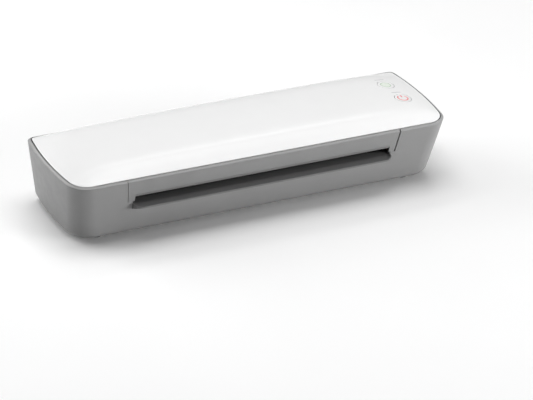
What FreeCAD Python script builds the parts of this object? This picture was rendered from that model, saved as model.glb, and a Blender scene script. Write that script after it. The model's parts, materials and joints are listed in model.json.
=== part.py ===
import FreeCAD, Part
import math
import os

os.makedirs("parts", exist_ok=True)
V = FreeCAD.Vector
X_AXIS = V(1, 0, 0)
Y_AXIS = V(0, 1, 0)
Z_AXIS = V(0, 0, 1)

# A4 pouch laminator. Millimetres, +Z up, -Y is the front (exit) side.
# The origin is on the table, under the middle of the casing.

# ---------------------------------------------------------------- casing sizes
RIM_CHORD = 338.0        # casing width between the end corners, at the rim
END_BOW = 4.2            # how far each end bulges past its corners
FRONT_Y = -51.5          # straight front edge of the rim
REAR_Y = 49.3            # rear corners of the rim
REAR_BOW = 2.0           # bulge of the rear edge
FRONT_CORNER_R = 19.0
REAR_CORNER_R = 6.0
RIM_Z = 56.0             # outer edge of the rim
BASE_Z = 3.0             # underside of the tub, on its feet
BOTTOM_R = 5.5           # rounding of the tub's bottom edge
WALL = 2.2
BEVEL_IN = 2.0           # the bevel goes this far in
BEVEL_UP = 1.5           # and this far up
EDGE_Z = RIM_Z + BEVEL_UP
END_LEAN = 8.0           # how far each wall leans in at the base
FRONT_LEAN = 12.0
REAR_LEAN = 2.0

# ----------------------------------------------------------------- cover sizes
COVER_GAP = 0.5          # shadow gap between the bevel and the cover
COVER_INSET = BEVEL_IN + COVER_GAP
SKIRT_INSET = 3.3
SKIRT_DEPTH = 4.5
COVER_T = 2.2
CROWN = 9.0              # rise of the cover's shoulder above the rim
CROWN_DOME = 0.12        # extra rise at the middle, as a share of the crown
FRONT_RUN = 13.0         # run of the steep front slope
REAR_RUN = 10.0
END_RUN = 23.0
FRONT_SHARPNESS = 3.5
REAR_SHARPNESS = 2.2
END_SHARPNESS = 2.0

# ------------------------------------------------------------------ slot sizes
POUCH_Z = 37.3           # the plane that the pouch travels in
SLOT_HALF = 115.5        # half length of the exit slot
LIP_Z = 39.5             # lower edge of the front trim over the slot
SHELF_Z = 35.1           # top of the exit guide
SHELF_T = 2.0
SHELF_OUT = 8.0          # how far the exit guide stands out of the front wall
SHELF_SLOPE = 0.18       # fall of the exit guide's lip per millimetre outwards
SHELF_CORNER_R = 7.0     # rounding of its ends
SHELF_HALF = SLOT_HALF + 1.5
TRIM_TOP_HALF = 123.2    # half length of the front trim at the rim
TRIM_FOOT_HALF = 120.9   # and at its feet
TRIM_GAP = 0.65          # parting line at the trim's ends
TRIM_FOOT_Z = 36.2       # bottom of the trim's short legs
LIP_ROLL_R = 4.0         # rounding of the trim's lower edge

# ------------------------------------------------------------- mechanism sizes
ROLLER_Y = -30.0
ROLLER_R = 7.85
SHAFT_R = 4.0
ROLLER_HALF = 116.0
LOWER_Z = 29.3
ROLLER_PITCH = 16.0      # distance between the two shafts
UPPER_Z = LOWER_Z + ROLLER_PITCH
RUN = 0.05               # radial clearance of a running fit
PLATE_X = 123.2          # inner face of each side plate
PLATE_T = 1.5
PLATE_OUT = PLATE_X + PLATE_T

GEAR_M = 1.0
ROLLER_TEETH = 16
IDLER_TEETH = 20
PINION_TEETH = 12
GEAR_X0 = -133.5
GEAR_X1 = -128.5
IDLER_ANGLE = -35.0      # direction from the lower roller to the idler, degrees
PINION_ANGLE = 40.0      # direction from the idler to the motor pinion

BRACKET_X0 = -138.5
BRACKET_X1 = -137.0
MOTOR_R = 24.0
MOTOR_L = 19.0
MOTOR_Y = 8.0
MOTOR_Z = 31.0
EAR_HOLE = 27.0          # mounting holes, either side of the motor's axis

POWER_X = 145.6
POWER_Y = -12.5
READY_X = 143.3
READY_Y = 13.9
BUTTON_R = 7.0
BUTTON_TRAVEL = 0.6


# --------------------------------------------------------------- basic helpers
def box(x0, x1, y0, y1, z0, z1):
    return Part.makeBox(x1 - x0, y1 - y0, z1 - z0, V(x0, y0, z0))


def cyl_x(x0, x1, y, z, r):
    return Part.makeCylinder(r, x1 - x0, V(x0, y, z), X_AXIS)


def cyl_y(x, y0, y1, z, r):
    return Part.makeCylinder(r, y1 - y0, V(x, y0, z), Y_AXIS)


def cyl_z(x, y, z0, z1, r):
    return Part.makeCylinder(r, z1 - z0, V(x, y, z0), Z_AXIS)


def ring_x(x0, x1, y, z, r_out, r_in):
    return cyl_x(x0, x1, y, z, r_out).cut(cyl_x(x0 - 1, x1 + 1, y, z, r_in))


def fuse(shapes):
    return shapes[0].multiFuse(shapes[1:]).removeSplitter()


def prism_xz(points, y0, y1):
    corners = [V(x, y0, z) for x, z in points]
    face = Part.Face(Part.makePolygon(corners + corners[:1]))
    return face.extrude(V(0, y1 - y0, 0))


def prism_yz(points, x0, x1):
    corners = [V(x0, y, z) for y, z in points]
    face = Part.Face(Part.makePolygon(corners + corners[:1]))
    return face.extrude(V(x1 - x0, 0, 0))


def mirror_x(shape):
    return shape.mirror(V(0, 0, 0), X_AXIS)


def export(name, shape):
    solids = shape.Solids
    if not solids or not all(s.isValid() for s in solids):
        print("CHECK", name, len(solids))
    whole = solids[0] if len(solids) == 1 else Part.makeCompound(solids)
    whole.exportStep("parts/" + name + ".step")


# ------------------------------------------------------------- casing outlines
def wall_depth(z):
    """Share of the wall's height below the rim, 0 at the rim and 1 at the base."""
    return max(0.0, (RIM_Z - z) / (RIM_Z - BASE_Z))


def front_inset(z):
    t = wall_depth(z)
    return FRONT_LEAN * (0.88 * t + 0.12 * t * t)


def front_wall_y(z):
    return FRONT_Y + front_inset(z)


def rear_wall_y(x, z):
    half = RIM_CHORD / 2
    return REAR_Y - REAR_LEAN * wall_depth(z) + REAR_BOW * (1 - (x / half) ** 2)


def end_wall_x(y):
    """Half width of the rim at a given depth."""
    mid = (FRONT_Y + REAR_Y) / 2
    reach = (REAR_Y - FRONT_Y) / 2
    return RIM_CHORD / 2 + END_BOW * (1 - ((y - mid) / reach) ** 2)


def bow_circle(chord, bow):
    """Radius of the arc that rises by bow over a chord."""
    return (chord * chord / 4 + bow * bow) / (2 * bow)


def outline(z, offset=0.0):
    """Closed plan outline of the casing at height z, moved inwards by offset."""
    t = wall_depth(z)
    half = RIM_CHORD / 2 - offset - END_LEAN * t
    y0 = FRONT_Y + offset + front_inset(z)
    y1 = REAR_Y - offset - REAR_LEAN * t
    mid = (y0 + y1) / 2
    end_r = bow_circle(y1 - y0, END_BOW)
    end_c = V(half + END_BOW - end_r, mid, z)
    rear_r = bow_circle(2 * half, REAR_BOW)
    rear_c = V(0, y1 + REAR_BOW - rear_r, z)

    # front corner: rolls on the straight front edge and inside the end arc
    rf = FRONT_CORNER_R - offset
    fy = y0 + rf
    fx = end_c.x + math.sqrt((end_r - rf) ** 2 - (fy - mid) ** 2)
    front_c = V(fx, fy, z)
    front_end = end_c + (front_c - end_c) * (end_r / (end_r - rf))

    # rear corner: inside both arcs
    rr = REAR_CORNER_R - offset
    d = rear_c - end_c
    gap = d.Length
    a = ((end_r - rr) ** 2 - (rear_r - rr) ** 2 + gap * gap) / (2 * gap)
    h = math.sqrt((end_r - rr) ** 2 - a * a)
    along = d * (1 / gap)
    across = V(-along.y, along.x, 0)
    if across.x < 0:
        across = across * -1
    corner_c = end_c + along * a + across * h
    rear_end = end_c + (corner_c - end_c) * (end_r / (end_r - rr))
    rear_top = rear_c + (corner_c - rear_c) * (rear_r / (rear_r - rr))

    def on_arc(centre, radius, p, q):
        way = (p - centre) + (q - centre)
        return centre + way * (radius / way.Length)

    def flip(p):
        return V(-p.x, p.y, p.z)

    front_start = V(fx, y0, z)
    front_mid = on_arc(front_c, rf, front_start, front_end)
    end_mid = on_arc(end_c, end_r, front_end, rear_end)
    corner_mid = on_arc(corner_c, rr, rear_end, rear_top)
    rear_mid = V(0, y1 + REAR_BOW, z)
    edges = [
        Part.LineSegment(flip(front_start), front_start),
        Part.Arc(front_start, front_mid, front_end),
        Part.Arc(front_end, end_mid, rear_end),
        Part.Arc(rear_end, corner_mid, rear_top),
        Part.Arc(rear_top, rear_mid, flip(rear_top)),
        Part.Arc(flip(rear_top), flip(corner_mid), flip(rear_end)),
        Part.Arc(flip(rear_end), flip(end_mid), flip(front_end)),
        Part.Arc(flip(front_end), flip(front_mid), flip(front_start)),
    ]
    return Part.Wire([e.toShape() for e in edges])


def prism(z0, z1, offset):
    """Upright block with the rim's outline."""
    face = Part.Face(outline(RIM_Z, offset))
    face.translate(V(0, 0, z0 - RIM_Z))
    return face.extrude(V(0, 0, z1 - z0))


def round_bottom(solid, z, radius):
    edges = [e for e in solid.Edges if abs(e.BoundBox.ZMax - z) < 1e-4]
    return solid.makeFillet(radius, edges)


def tub_block(offset, z_bottom, radius, z_top):
    """Solid inside of the tub's wall surface, moved inwards by offset."""
    heights = [z_bottom, 20.0, 38.0, RIM_Z]
    walls = Part.makeLoft([outline(z, offset) for z in heights], True, False)
    walls = round_bottom(walls, z_bottom, radius)
    if offset > 0:
        return walls.fuse(prism(RIM_Z, z_top, offset))
    bevel_wires = [outline(RIM_Z), outline(RIM_Z, BEVEL_IN)]
    bevel_wires[1].translate(V(0, 0, BEVEL_UP))
    return walls.fuse(Part.makeLoft(bevel_wires, True, True))


# ------------------------------------------------------------------ cover form
def ramp(s, run, sharpness):
    """Rises from 0 with slope 1 / run and levels off at 1."""
    a = abs(s) / run
    value = a / (1 + a ** sharpness) ** (1 / sharpness)
    return value if s >= 0 else -value


def square_off(s, t, radius):
    """Distances from two edges with a rounded corner, remapped so that one is 0 all along the arc."""
    p = 1 - s / radius
    q = 1 - t / radius
    if p <= 0.01 or q <= 0.01:
        return s, t
    n = p * p + q * q
    w = math.sqrt((n - math.sqrt(max(0.0, n * (n - 4 * p * p * q * q)))) / 2)
    return radius * (1 - w / q), radius * (1 - w / p)


def cover_z(x, y, drop=0.0):
    front_gap = y - FRONT_Y - COVER_INSET
    rear_gap = rear_wall_y(x, RIM_Z) - COVER_INSET - y
    end_gap = end_wall_x(y) - COVER_INSET - abs(x)
    front_gap, end_gap = square_off(front_gap, end_gap, FRONT_CORNER_R - COVER_INSET)
    rear_gap, end_gap = square_off(rear_gap, end_gap, REAR_CORNER_R - COVER_INSET)
    front = ramp(front_gap, FRONT_RUN, FRONT_SHARPNESS)
    rear = ramp(rear_gap, REAR_RUN, REAR_SHARPNESS)
    end = ramp(end_gap, END_RUN, END_SHARPNESS)
    dome = 1 + CROWN_DOME * (1 - (y / REAR_Y) ** 2)
    return EDGE_Z + CROWN * dome * front * rear * end - drop


def under_cover(drop=0.0, depth=60.0):
    """Everything below the cover's top surface, lowered by drop."""
    columns = 53
    rows = 37
    reach_x = 176.0
    reach_y = 61.0
    grid = []
    for i in range(columns):
        x = -reach_x + 2 * reach_x * i / (columns - 1)
        line = []
        for j in range(rows):
            y = -reach_y + 2 * reach_y * j / (rows - 1)
            line.append(V(x, y, cover_z(x, y, drop)))
        grid.append(line)
    surface = Part.BSplineSurface()
    surface.interpolate(grid)
    return surface.toShape().extrude(V(0, 0, -depth))


COVER_TOP = under_cover()
COVER_BELOW = under_cover(COVER_T)

# screw towers that join the cover to the tub, as (x, y)
TOWERS = [(-152, -27), (152, -27), (-152, 38), (152, 38)]
TOWER_SPLIT_Z = 18.0
TOWER_R = 4.5
BOSS_R = 4.0
FEET = [(-140, -26.5), (140, -26.5), (-140, 34), (140, 34)]
FOOT_R = 6.0
FLOOR_Z = BASE_Z + WALL
FOOT_SEAT_Z = 4.0

CHASSIS_SCREWS = [(-117, -30), (117, -30), (-117, 35), (117, 35)]
FLANGE_Z = 8.0
BOARD_Z = 12.0
BOARD_T = 1.6
BOARD_POSTS = [(134, -17.5), (157, -17.5), (134, 27), (157, 27)]
PANEL_Z = 54.2           # underside of the button board
PANEL_POSTS = [(132.5, -18), (156.5, -18), (132.5, 18.5), (156.5, 18.5)]
GLAND_X = 138.0
GLAND_Z = 20.0
GLAND_BORE_R = 3.5

# rear entry guide
ENTRY_HALF = 118.0
ENTRY_Z0 = 33.4
ENTRY_Z1 = 43.8
FIT_GAP = 0.1


def trim_zone(gap, z_foot):
    """Upright slice of the front wall that the trim fills, widened by gap."""
    slope = (TRIM_TOP_HALF - TRIM_FOOT_HALF) / (RIM_Z - TRIM_FOOT_Z)
    z_top = EDGE_Z + 5
    foot = TRIM_FOOT_HALF + gap + slope * (z_foot - TRIM_FOOT_Z)
    top = TRIM_FOOT_HALF + gap + slope * (z_top - TRIM_FOOT_Z)
    return prism_xz([(-foot, z_foot), (foot, z_foot), (top, z_top), (-top, z_top)], FRONT_Y - 5, -42)


def make_lower_housing():
    tub = tub_block(0.0, BASE_Z, BOTTOM_R, EDGE_Z)
    tub = tub.cut(tub_block(WALL, FLOOR_Z, BOTTOM_R - WALL, EDGE_Z + 1))
    adds = []
    for x, y in TOWERS:
        adds.append(cyl_z(x, y, BASE_Z + 0.5, TOWER_SPLIT_Z, TOWER_R))
    for x, y in CHASSIS_SCREWS:
        adds.append(cyl_z(x, y, BASE_Z + 0.5, FLANGE_Z, 4.0))
    for x, y in BOARD_POSTS:
        adds.append(cyl_z(x, y, BASE_Z + 0.5, BOARD_Z, 3.0))
    tub = fuse([tub] + adds)
    cuts = [trim_zone(TRIM_GAP, TRIM_FOOT_Z - FIT_GAP)]
    shelf_half = SHELF_HALF + FIT_GAP
    cuts.append(box(-shelf_half, shelf_half, FRONT_Y - 5, -42, SHELF_Z - SHELF_T - FIT_GAP, TRIM_FOOT_Z))
    entry_half = ENTRY_HALF + FIT_GAP
    cuts.append(box(-entry_half, entry_half, 45, 62, ENTRY_Z0 - FIT_GAP, ENTRY_Z1 + FIT_GAP))
    cuts.append(cyl_y(GLAND_X, 45, 62, GLAND_Z, 7.0))
    for x, y in TOWERS:
        cuts.append(cyl_z(x, y, 0, 8, 3.6))
        cuts.append(cyl_z(x, y, 0, TOWER_SPLIT_Z + 1, 1.8))
    for x, y in CHASSIS_SCREWS:
        cuts.append(cyl_z(x, y, BASE_Z + 1.2, FLANGE_Z + 1, 1.45))
    for x, y in BOARD_POSTS:
        cuts.append(cyl_z(x, y, BASE_Z + 1.2, BOARD_Z + 1, 1.2))
    for x, y in FEET:
        cuts.append(cyl_z(x, y, 0, FOOT_SEAT_Z, FOOT_R))
    vent_pitch = 12.0
    for i in range(-8, 9):
        x = i * vent_pitch
        cuts.append(box(x - 1.5, x + 1.5, -14, 30, 0, FLOOR_Z + 1))
        cuts.append(cyl_z(x, -14, 0, FLOOR_Z + 1, 1.5))
        cuts.append(cyl_z(x, 30, 0, FLOOR_Z + 1, 1.5))
    return tub.cut(Part.makeCompound(cuts))


def cover_boss(x, y, z0, radius):
    return cyl_z(x, y, z0, EDGE_Z + 30, radius).common(COVER_TOP).common(
        cyl_z(x, y, z0, cover_z(x, y) - 1.0, radius))


def make_top_cover():
    upper = prism(RIM_Z + 0.3, EDGE_Z + 30, COVER_INSET)
    skirt = prism(EDGE_Z - SKIRT_DEPTH, EDGE_Z + 30, SKIRT_INSET)
    outer = fuse([upper, skirt]).common(COVER_TOP)
    inner = prism(EDGE_Z - 20, EDGE_Z + 30, SKIRT_INSET + 1.9).common(COVER_BELOW)
    cover = outer.cut(inner)
    bosses = [cover_boss(x, y, TOWER_SPLIT_Z + 0.1, BOSS_R) for x, y in TOWERS]
    bosses += [cover_boss(x, y, PANEL_Z + BOARD_T, 2.5) for x, y in PANEL_POSTS]
    cover = fuse([cover] + bosses)
    cuts = [cyl_z(x, y, 10, 34, 1.45) for x, y in TOWERS]
    cuts += [cyl_z(x, y, PANEL_Z, PANEL_Z + 5, 0.95) for x, y in PANEL_POSTS]
    cuts.append(cyl_z(POWER_X, POWER_Y, 50, 80, BUTTON_R + 0.3))
    cuts.append(cyl_z(READY_X, READY_Y, 50, 80, BUTTON_R + 0.2))
    return cover.cut(Part.makeCompound(cuts))


def lip_roll():
    """What the rounding of the trim's lower edge takes away."""
    y_lip = front_wall_y(LIP_Z)
    lean = math.atan((front_wall_y(LIP_Z) - front_wall_y(LIP_Z + LIP_ROLL_R)) / LIP_ROLL_R)
    reach = LIP_ROLL_R * math.tan(math.pi / 4 - lean / 2)
    y_centre = y_lip + reach
    z_centre = LIP_Z + LIP_ROLL_R
    half_turn = (math.pi / 2 - lean) / 2
    x = -SLOT_HALF
    start = V(x, y_lip - reach * math.sin(lean), LIP_Z + reach * math.cos(lean))
    middle = V(x, y_centre - LIP_ROLL_R * math.sin(half_turn), z_centre - LIP_ROLL_R * math.cos(half_turn))
    end = V(x, y_centre, LIP_Z)
    below = V(x, y_centre, LIP_Z - 3)
    corner = V(x, FRONT_Y - 10, LIP_Z - 3)
    outside = V(x, FRONT_Y - 10, start.z)
    edges = [Part.Arc(start, middle, end).toShape()]
    edges += [Part.makeLine(p, q) for p, q in ((end, below), (below, corner), (corner, outside), (outside, start))]
    return Part.Face(Part.Wire(edges)).extrude(V(2 * SLOT_HALF, 0, 0))


def make_front_trim():
    trim = tub_block(0.0, BASE_Z, BOTTOM_R, EDGE_Z).common(trim_zone(0, TRIM_FOOT_Z))
    trim = trim.cut(tub_block(WALL, FLOOR_Z, BOTTOM_R - WALL, EDGE_Z + 1))
    mouth = box(-SLOT_HALF, SLOT_HALF, FRONT_Y - 5, -40, TRIM_FOOT_Z - 5, LIP_Z)
    # the upper guide runs back from the lip towards the rollers
    y_in = front_wall_y(LIP_Z) + 1.5
    guide = box(-SLOT_HALF, SLOT_HALF, y_in, -41.5, LIP_Z, LIP_Z + LIP_ROLL_R + 1)
    return fuse([trim.cut(mouth), guide]).cut(lip_roll())


def make_exit_guide():
    y_wall = front_wall_y(SHELF_Z)
    y_tip = y_wall - SHELF_OUT
    z_low = SHELF_Z - SHELF_T
    z_tip = SHELF_Z - SHELF_SLOPE * SHELF_OUT
    z_heel = z_low - 4.5
    y_back = -39.5

    def plan(inset, z0, z1):
        """Upright block over the guide's plan, with its two outer corners rounded."""
        half = SHELF_HALF - inset
        y0 = y_tip + inset
        block = box(-half, half, y0, y_back + inset, z0, z1)
        ends = [e for e in block.Edges if e.BoundBox.ZLength > 1 and e.BoundBox.YMax < y0 + 0.1]
        return block.makeFillet(SHELF_CORNER_R - inset, ends)

    profile = [(y_back, SHELF_Z), (y_wall, SHELF_Z), (y_tip, z_tip), (y_tip, z_tip - 1.6),
               (front_wall_y(z_heel) - FIT_GAP, z_heel), (front_wall_y(z_low) - FIT_GAP, z_low),
               (y_back, z_low)]
    outer = prism_yz(profile, -SHELF_HALF, SHELF_HALF).common(plan(0, z_heel - 1, SHELF_Z + 1))
    # shallow trough that steers the pouch, with a low rim round it
    rim = 1.1
    depth = 0.7
    hollow = [(y_back + 5, SHELF_Z - depth), (y_wall, SHELF_Z - depth), (y_tip, z_tip - depth),
              (y_tip, SHELF_Z + 1), (y_back + 5, SHELF_Z + 1)]
    trough = prism_yz(hollow, -SHELF_HALF, SHELF_HALF).common(plan(rim, z_heel - 1, SHELF_Z + 2))
    return outer.cut(trough)


def make_entry_guide():
    y_in = HEATER_Y1 + 3.0
    y_out = REAR_Y + REAR_BOW + 3.0
    body = box(-ENTRY_HALF, ENTRY_HALF, y_in, y_out, ENTRY_Z0, ENTRY_Z1)
    block = tub_block(0.0, BASE_Z, BOTTOM_R, EDGE_Z)
    body = body.common(block)
    # outer frame that laps over the rear wall
    frame_zone = box(-ENTRY_HALF - 4, ENTRY_HALF + 4, 40, y_out, ENTRY_Z0 - 4, ENTRY_Z1 + 4)
    heights = [20.0, 38.0, RIM_Z]
    shell = Part.makeLoft([outline(z, -1.2) for z in heights], True, False)
    frame = shell.common(frame_zone).cut(block)
    body = fuse([body, frame])

    def mouth(y, z0, z1, half):
        pts = [V(-half, y, z0), V(half, y, z0), V(half, y, z1), V(-half, y, z1)]
        return Part.makePolygon(pts + pts[:1])

    throat = Part.makeLoft([mouth(y_in - 1, 35.9, 40.4, SLOT_HALF - 0.5),
                            mouth(y_out, 34.4, 42.9, SLOT_HALF)], True, True)
    return body.cut(throat)


def make_feet():
    feet = []
    for x, y in FEET:
        pad = cyl_z(x, y, 0, FOOT_SEAT_Z, FOOT_R)
        rim = [e for e in pad.Edges if e.BoundBox.ZMax < 0.01]
        feet.append(pad.makeFillet(1.0, rim))
    return Part.makeCompound(feet)


# --------------------------------------------------------------------- chassis
HEATER_Y0 = -16.0
HEATER_Y1 = 31.0
HEATER_T = 2.0
ELEMENT_T = 1.2
LOWER_HEATER_Z = 34.3
UPPER_HEATER_Z = 38.3
SHIELD_Z = 46.4
SHIELD_T = 0.8
HEATER_TAB_Y0 = 2.0
HEATER_TAB_Y1 = 14.0
BLOCK_WEB = 12.8         # width of the bearing block inside its slot
BLOCK_SLOT = 13.0
BLOCK_Z0 = 38.5
BLOCK_Z1 = 51.5
SPRING_Z1 = 58.4
BUSH_R = 6.0
IDLER_Y = ROLLER_Y + (ROLLER_TEETH + IDLER_TEETH) / 2 * GEAR_M * math.cos(math.radians(IDLER_ANGLE))
IDLER_Z = LOWER_Z + (ROLLER_TEETH + IDLER_TEETH) / 2 * GEAR_M * math.sin(math.radians(IDLER_ANGLE))
PINION_Y = IDLER_Y + (IDLER_TEETH + PINION_TEETH) / 2 * GEAR_M * math.cos(math.radians(PINION_ANGLE))
PINION_Z = IDLER_Z + (IDLER_TEETH + PINION_TEETH) / 2 * GEAR_M * math.sin(math.radians(PINION_ANGLE))
STUD_R = 2.5
STANDOFFS = [(-16.0, 50.5), (36.0, 12.6), (33.0, 51.0)]
BARS = [("front_tie_bar", -32.0, 16.0), ("rear_tie_bar", 37.0, 21.0)]
BAR_R = 3.0


def make_side_plate(side):
    """side is -1 for the geared left plate and 1 for the right plate."""
    x0, x1 = PLATE_X, PLATE_OUT
    y_front, y_foot, y_back = -42.0, -37.5, 41.0
    low = prism_yz([(y_foot, FLANGE_Z), (y_back, FLANGE_Z), (y_back, 54), (y_front, 54), (y_front, 28)], x0, x1)
    z_top = SPRING_Z1 + PLATE_T
    high = prism_yz([(-17, 54), (-17, z_top), (y_front + 3.0, z_top), (y_front, z_top - 4.6), (y_front, 54)], x0, x1)
    flange = box(112, x1, y_foot, y_back, FLANGE_Z, FLANGE_Z + PLATE_T)
    seat = box(119.5, 128.5, ROLLER_Y - 5.5, ROLLER_Y + 5.5, SPRING_Z1, SPRING_Z1 + PLATE_T)
    plate = fuse([low, high, flange, seat])
    slot = BLOCK_SLOT / 2
    cuts = [box(x0 - 1, x1 + 1, ROLLER_Y - slot, ROLLER_Y + slot, BLOCK_Z0 - 0.3, SPRING_Z1)]
    cuts.append(cyl_x(x0 - 1, x1 + 1, ROLLER_Y, LOWER_Z, BUSH_R))
    for z in (LOWER_HEATER_Z, UPPER_HEATER_Z):
        cuts.append(box(x0 - 1, x1 + 1, HEATER_TAB_Y0 - 0.2, HEATER_TAB_Y1 + 0.2, z - 0.1, z + HEATER_T + 0.1))
    for x, y in CHASSIS_SCREWS:
        if x > 0:
            cuts.append(cyl_z(x, y, FLANGE_Z - 1, FLANGE_Z + 3, 1.6))
    for name, y, z in BARS:
        cuts.append(cyl_x(x0 - 1, x1 + 1, y, z, 1.6))
    if side < 0:
        for y, z in STANDOFFS:
            cuts.append(cyl_x(x0 - 1, x1 + 1, y, z, 1.6))
        cuts.append(cyl_x(x0 - 1, x1 + 1, IDLER_Y, IDLER_Z, 1.8))
    plate = plate.cut(Part.makeCompound(cuts))
    return plate if side > 0 else mirror_x(plate)


def pan_screw_x(x_face, way, y, z, shank_r, length, head_r=2.8, head_h=1.8):
    """Screw along X whose head rests on x_face and whose shank goes the other way."""
    head = cyl_x(min(x_face, x_face + way * head_h), max(x_face, x_face + way * head_h), y, z, head_r)
    tip = x_face - way * length
    shank = cyl_x(min(x_face, tip), max(x_face, tip), y, z, shank_r)
    return fuse([head, shank])


def pan_screw_z(x, y, z_face, way, shank_r, length, head_r, head_h):
    """Screw along Z whose head rests on z_face; way is 1 when the head is on top."""
    head = cyl_z(x, y, min(z_face, z_face + way * head_h), max(z_face, z_face + way * head_h), head_r)
    tip = z_face - way * length
    shank = cyl_z(x, y, min(z_face, tip), max(z_face, tip), shank_r)
    rim = [e for e in head.Edges if abs(e.BoundBox.ZMin - (z_face + way * head_h)) < 0.01
           and e.BoundBox.ZLength < 0.01]
    head = head.makeFillet(head_h * 0.4, rim)
    cross_z = z_face + way * head_h
    cross = [box(x - head_r * 0.55, x + head_r * 0.55, y - 0.4, y + 0.4, cross_z - 0.6, cross_z + 0.6),
             box(x - 0.4, x + 0.4, y - head_r * 0.55, y + head_r * 0.55, cross_z - 0.6, cross_z + 0.6)]
    return fuse([head, shank]).cut(Part.makeCompound(cross))


def make_tie_bar(y, z):
    bar = cyl_x(-PLATE_X, PLATE_X, y, z, BAR_R)
    return bar.cut(cyl_x(-PLATE_X - 1, -PLATE_X + 12, y, z, 1.35)).cut(
        cyl_x(PLATE_X - 12, PLATE_X + 1, y, z, 1.35))


def make_tie_bar_screws():
    screws = []
    for name, y, z in BARS:
        screws.append(pan_screw_x(PLATE_OUT, 1, y, z, 1.3, 10.0))
        screws.append(pan_screw_x(-PLATE_OUT, -1, y, z, 1.3, 10.0))
    return Part.makeCompound(screws)


def make_heater_plate(z):
    plate = box(-SLOT_HALF, SLOT_HALF, HEATER_Y0, HEATER_Y1, z, z + HEATER_T)
    inner = z + HEATER_T if z < POUCH_Z else z
    lips = [e for e in plate.Edges if e.BoundBox.XLength > 100 and abs(e.BoundBox.ZMax - inner) < 0.01]
    plate = plate.makeFillet(1.2, lips)
    tab_x = PLATE_OUT + 1.5
    left = box(-tab_x, -SLOT_HALF + 2, HEATER_TAB_Y0, HEATER_TAB_Y1, z, z + HEATER_T)
    return fuse([plate, left, mirror_x(left)])


def make_heating_element(z0):
    strip = box(-105, 105, -6, 22, z0, z0 + ELEMENT_T)
    corners = [e for e in strip.Edges if e.BoundBox.ZLength > 0.5]
    return strip.makeFillet(3.0, corners)


def make_heat_shield():
    z_top = SHIELD_Z + SHIELD_T
    top = box(-PLATE_X, PLATE_X, HEATER_Y0, HEATER_Y1, SHIELD_Z, z_top)
    left = box(-PLATE_X, -PLATE_X + SHIELD_T, HEATER_Y0, HEATER_Y1, SHIELD_Z - 3.5, z_top)
    shield = fuse([top, left, mirror_x(left)])
    holes = []
    for i in range(-9, 10):
        holes.append(cyl_z(i * 12.0, 2.0, SHIELD_Z - 1, z_top + 1, 3.0))
        holes.append(cyl_z(i * 12.0, 18.0, SHIELD_Z - 1, z_top + 1, 3.0))
    return shield.cut(Part.makeCompound(holes))


def make_thermostat():
    z0 = UPPER_HEATER_Z + HEATER_T + ELEMENT_T
    cup = cyl_z(30, 8, z0, z0 + 2.6, 8.0)
    head = cyl_z(30, 8, z0 + 2.6, z0 + 4.2, 5.5)
    tabs = [box(x, x + 3, 6.8, 9.2, z0 + 2.6, z0 + 3.4) for x in (21, 36)]
    return fuse([cup, head] + tabs)


def make_thermal_fuse():
    z0 = UPPER_HEATER_Z + HEATER_T + ELEMENT_T
    z = z0 + 2.1
    barrel = cyl_x(-38, -26, 8, z, 2.0)
    leads = [cyl_x(-46, -37, 8, z, 0.5), cyl_x(-27, -18, 8, z, 0.5)]
    saddle = box(-35, -29, 5, 11, z0, z0 + 1.1)
    return fuse([barrel, saddle] + leads)


# --------------------------------------------------------------------- rollers
def make_shaft(z):
    shaft = cyl_x(-135.5, 130.0, ROLLER_Y, z, SHAFT_R)
    ends = [e for e in shaft.Edges if e.BoundBox.XLength < 0.01]
    return shaft.makeChamfer(0.6, ends)


def make_sleeve(z):
    sleeve = ring_x(-ROLLER_HALF, ROLLER_HALF, ROLLER_Y, z, ROLLER_R, SHAFT_R)
    rims = [e for e in sleeve.Edges if e.BoundBox.XLength < 0.01 and e.BoundBox.ZLength > 12]
    return sleeve.makeFillet(0.8, rims)


def make_clips(z, x_left, x_right):
    left = ring_x(x_left - 0.8, x_left, ROLLER_Y, z, 6.2, SHAFT_R)
    right = ring_x(x_right, x_right + 0.8, ROLLER_Y, z, 6.2, SHAFT_R)
    return Part.makeCompound([left, right])


def make_bush():
    barrel = cyl_x(PLATE_X, PLATE_OUT + 2.0, ROLLER_Y, LOWER_Z, BUSH_R)
    flange = cyl_x(PLATE_X - 2.0, PLATE_X, ROLLER_Y, LOWER_Z, BUSH_R + 1.8)
    bore = cyl_x(PLATE_X - 3, PLATE_OUT + 3, ROLLER_Y, LOWER_Z, SHAFT_R + RUN)
    return fuse([barrel, flange]).cut(bore)


def make_pressure_block():
    web_half = BLOCK_WEB / 2
    ear_half = web_half + 1.6
    web = box(PLATE_X - 0.1, PLATE_OUT + 0.1, ROLLER_Y - web_half, ROLLER_Y + web_half, BLOCK_Z0, BLOCK_Z1)
    inner = box(PLATE_X - 2.6, PLATE_X - 0.1, ROLLER_Y - ear_half, ROLLER_Y + ear_half, BLOCK_Z0, BLOCK_Z1)
    outer = box(PLATE_OUT + 0.1, PLATE_OUT + 2.6, ROLLER_Y - ear_half, ROLLER_Y + ear_half, BLOCK_Z0, BLOCK_Z1)
    block = fuse([web, inner, outer])
    bore = cyl_x(PLATE_X - 4, PLATE_OUT + 4, ROLLER_Y, UPPER_Z, SHAFT_R + RUN)
    return block.cut(bore)


def make_pressure_spring():
    wire_r = 0.5
    coil_r = 2.9
    turns = 4
    steps = 10
    z0 = BLOCK_Z1 + wire_r + 0.1
    z1 = SPRING_Z1 - wire_r - 0.1
    x = (PLATE_X + PLATE_OUT) / 2
    corners = []
    for k in range(turns * steps + 1):
        a = 2 * math.pi * k / steps
        z = z0 + (z1 - z0) * k / (turns * steps)
        corners.append(V(x + coil_r * math.cos(a), ROLLER_Y + coil_r * math.sin(a), z))
    return round_wire(corners, wire_r)


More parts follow.
